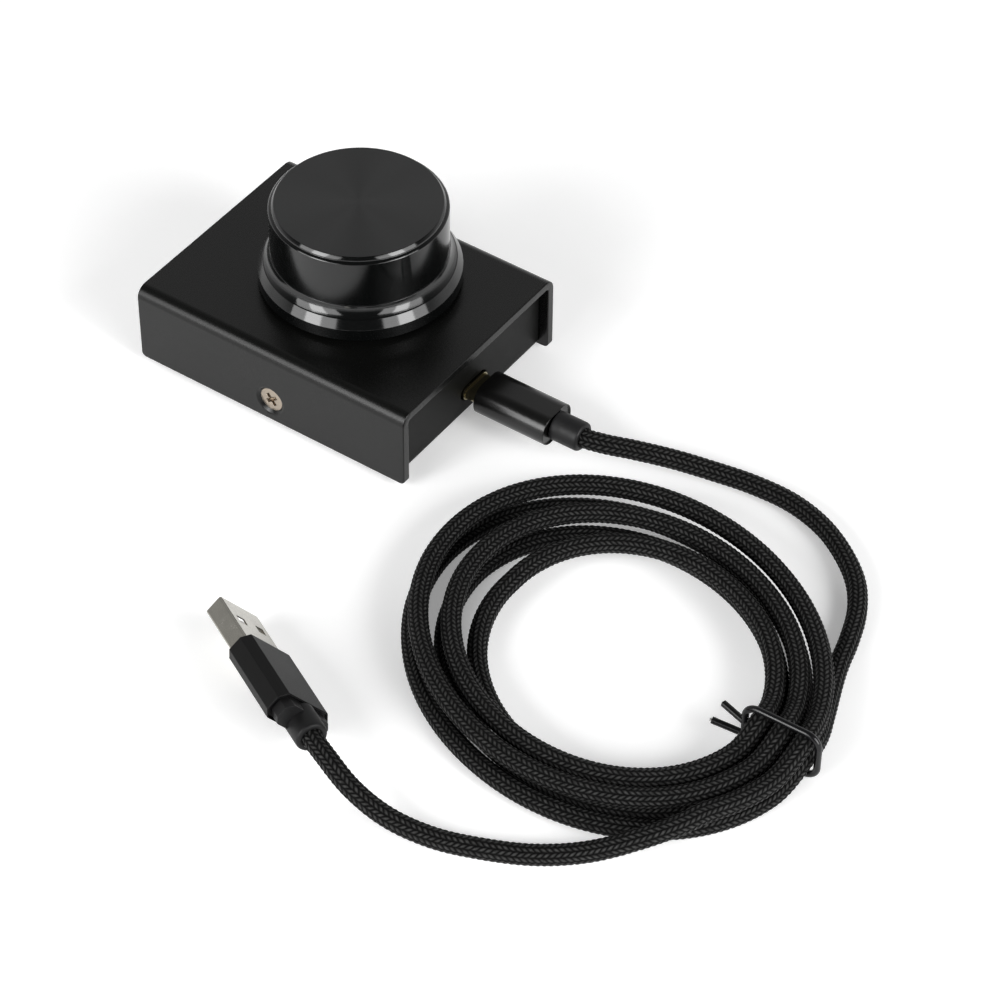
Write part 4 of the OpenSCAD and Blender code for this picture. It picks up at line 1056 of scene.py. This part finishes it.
class FinishInside(bpy.types.Operator):
    """Gives every model piece that stays its own finish"""

    bl_idname = "volume_knob.finish_inside"
    bl_label = "Inner pieces"

    def execute(self, context):
        finishes = [
            (moulded("foot_rubber", (0.015, 0.015, 0.015), 0.75, 2.0, 0.03), "rubber_feet"),
            (laminate("board_laminate", (0.008, 0.075, 0.03), (0.02, 0.14, 0.06)), "circuit_board"),
            (
                moulded("chip_resin", (0.012, 0.012, 0.012), 0.5, 5.0, 0.01),
                "controller_chip",
                "voltage_regulator",
            ),
            (moulded("chip_ceramic", (0.3, 0.2, 0.11), 0.45, 6.0, 0.01), "small_chip_parts"),
            (
                plated("tin_plate", (0.6, 0.59, 0.57), 0.35, grain=1.5),
                "clock_crystal",
                "encoder_frame",
                "encoder_terminals",
            ),
            (
                moulded("contact_resin", (0.01, 0.01, 0.01), 0.35, 4.0, 0.006),
                "socket_tongue",
                "plug_tip_core",
            ),
            (
                plated("gold_plate", (0.8, 0.58, 0.25), 0.25, grain=3.0),
                "socket_contacts",
                "flat_plug_contacts",
            ),
            (moulded("encoder_resin", (0.02, 0.02, 0.022), 0.5, 3.0, 0.01), "encoder_base"),
            (
                moulded("white_resin", (0.75, 0.75, 0.72), 0.45, 2.0, 0.008),
                "click_rotor",
                "switch_plunger",
                "flat_plug_tongue",
            ),
            (
                plated("spring_steel", (0.6, 0.58, 0.52), 0.28, (1.0, 8.0, 1.0), 1.5),
                "click_spring",
                "switch_dome",
            ),
            (
                plated("turned_metal", (0.6, 0.6, 0.58), 0.28, (1.0, 1.0, 12.0), 1.2),
                "encoder_shaft",
            ),
            (
                plated("board_nickel", (0.66, 0.62, 0.55), 0.3, (1.0, 1.0, 8.0), 1.5),
                "board_standoffs",
                "board_screws",
            ),
            # Plated nickel, darkened and browned as painted shade of the socket in the case's end
            # wall.
            (
                plated("shaded_socket_nickel", (0.34, 0.3, 0.19), 0.18, (6.0, 1.0, 1.0), 1.2),
                "socket_shell",
                "plug_tip",
            ),
            (painted("black_steel", (0.012, 0.012, 0.012), 0.36, 0.5), "knob_set_screw"),
            (plated("bright_wire", (0.8, 0.79, 0.76), 0.3, grain=3.0), "tie_wire_core"),
        ]
        for finish, *names in finishes:
            for name in names:
                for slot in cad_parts[name].material_slots:
                    slot.material = finish
        return {"FINISHED"}


class SetStage(bpy.types.Operator):
    """Sets the pale floor, the sky and the two soft boxes"""

    bl_idname = "volume_knob.set_stage"
    bl_label = "Stage"

    def execute(self, context):
        settings = context.scene.volume_knob_stage
        floor = add(
            "floor",
            bpy.ops.mesh.primitive_plane_add,
            size=settings.floor_size,
            location=FLOOR_MIDDLE,
        )
        made, tree, shader, where = new_finish("floor_paper", settings.floor_colour, 0.9, shine=0.0)
        shader.inputs["Emission Color"].default_value = (1.0, 1.0, 1.0, 1.0)
        path = node(tree, "LightPath").outputs
        seen = calc(tree, "MAXIMUM", path["Is Camera Ray"], path["Is Glossy Ray"])
        seen = calc(tree, "MAXIMUM", seen, path["Is Transmission Ray"])
        feed(tree, shader, "Emission Strength", calc(tree, "MULTIPLY", seen, settings.backdrop_glow))
        raise_surface(tree, shader, noise(tree, where, 0.6, 3.0), 0.01 * MM)
        floor.data.materials.append(made)

        sky = bpy.data.worlds.new("sky")
        context.scene.world = sky
        sky.use_nodes = True
        tree = sky.node_tree
        way = node(tree, "TexCoord").outputs["Generated"]
        high = node(tree, "SeparateXYZ", {0: way}).outputs["Z"]
        ahead = {0: way, 1: facing(CAMERA_AZIMUTH, 45)}
        near = node(tree, "VectorMath", ahead, operation="DOT_PRODUCT").outputs["Value"]
        horizon, ceiling = settings.horizon, settings.ceiling
        fade = span(tree, near, -0.75, 0.6, horizon, ceiling, "SMOOTHSTEP")
        band = span(tree, high, 0.08, 0.26, 1.0, 0.0, "SMOOTHSTEP")
        light = calc(tree, "MAXIMUM", fade, calc(tree, "MULTIPLY", band, horizon))
        background = tree.nodes["Background"]
        feed(tree, background, "Strength", light)
        background.inputs["Color"].default_value = (1.0, 1.0, 1.0, 1.0)

        lamps = (
            (SOFT_BOX_WIDTH, settings.soft_box_power, SOFT_BOX_AWAY),
            (HOT_WIDTH, settings.hot_power, HOT_AWAY),
        )
        for name, side in (("left", -1), ("right", 1)):
            back = facing(CAMERA_AZIMUTH + side * SOFT_BOX_SPREAD, SOFT_BOX_RISE)
            for number, (wide, power, away) in enumerate(lamps):
                lamp = bpy.data.lights.new(f"{name}_soft_box_{number}", "AREA")
                lamp.shape = "RECTANGLE"
                lamp.size, lamp.size_y = wide, SOFT_BOX_HEIGHT
                lamp.energy = power
                box = linked(lamp.name, lamp)
                box.location = Vector(LAMPS_AIM) + away * back
                box.rotation_mode = "QUATERNION"
                box.rotation_quaternion = (-back).to_track_quat("-Z", "Y")
                box.visible_camera = False
        context.scene.view_settings.view_transform = "Standard"
        return {"FINISHED"}


class VolumeKnobPanel(bpy.types.Panel):
    """Lists the pieces and the stage"""

    bl_idname = "VIEW3D_PT_volume_knob"
    bl_label = "Volume knob"
    bl_space_type = "VIEW_3D"
    bl_region_type = "UI"
    bl_category = "Volume Knob"

    def draw(self, context):
        for operator in OPERATORS:
            self.layout.operator(operator.bl_idname)
        for name, _ in SETTINGS:
            group = getattr(context.scene, name)
            column = self.layout.column()
            for key in group.__annotations__:
                column.prop(group, key)


OPERATORS = (
    PlaceCamera,
    BuildFlatPlug,
    BuildTie,
    BuildCordPlug,
    BuildCord,
    BuildKnob,
    BuildCase,
    BuildScrews,
    FinishInside,
    SetStage,
)
SETTINGS = (
    ("volume_knob_stage", StageSettings),
    ("volume_knob_case", CaseSettings),
    ("volume_knob_knob", KnobSettings),
    ("volume_knob_cord", CordSettings),
    ("volume_knob_plug", PlugSettings),
)


def register():
    for name, group in SETTINGS:
        bpy.utils.register_class(group)
        setattr(bpy.types.Scene, name, PointerProperty(type=group))
    for kind in (*OPERATORS, VolumeKnobPanel):
        bpy.utils.register_class(kind)


def unregister():
    for kind in (VolumeKnobPanel, *reversed(OPERATORS)):
        bpy.utils.unregister_class(kind)
    for name, group in reversed(SETTINGS):
        delattr(bpy.types.Scene, name)
        bpy.utils.unregister_class(group)


def main():
    register()
    bpy.ops.volume_knob.place_camera()
    bpy.ops.volume_knob.build_flat_plug()
    bpy.ops.volume_knob.build_tie()
    bpy.ops.volume_knob.build_cord_plug()
    bpy.ops.volume_knob.build_cord()
    bpy.ops.volume_knob.build_knob()
    bpy.ops.volume_knob.build_case()
    bpy.ops.volume_knob.build_screws()
    bpy.ops.volume_knob.finish_inside()
    bpy.ops.volume_knob.set_stage()


if __name__ == "__main__":
    main()
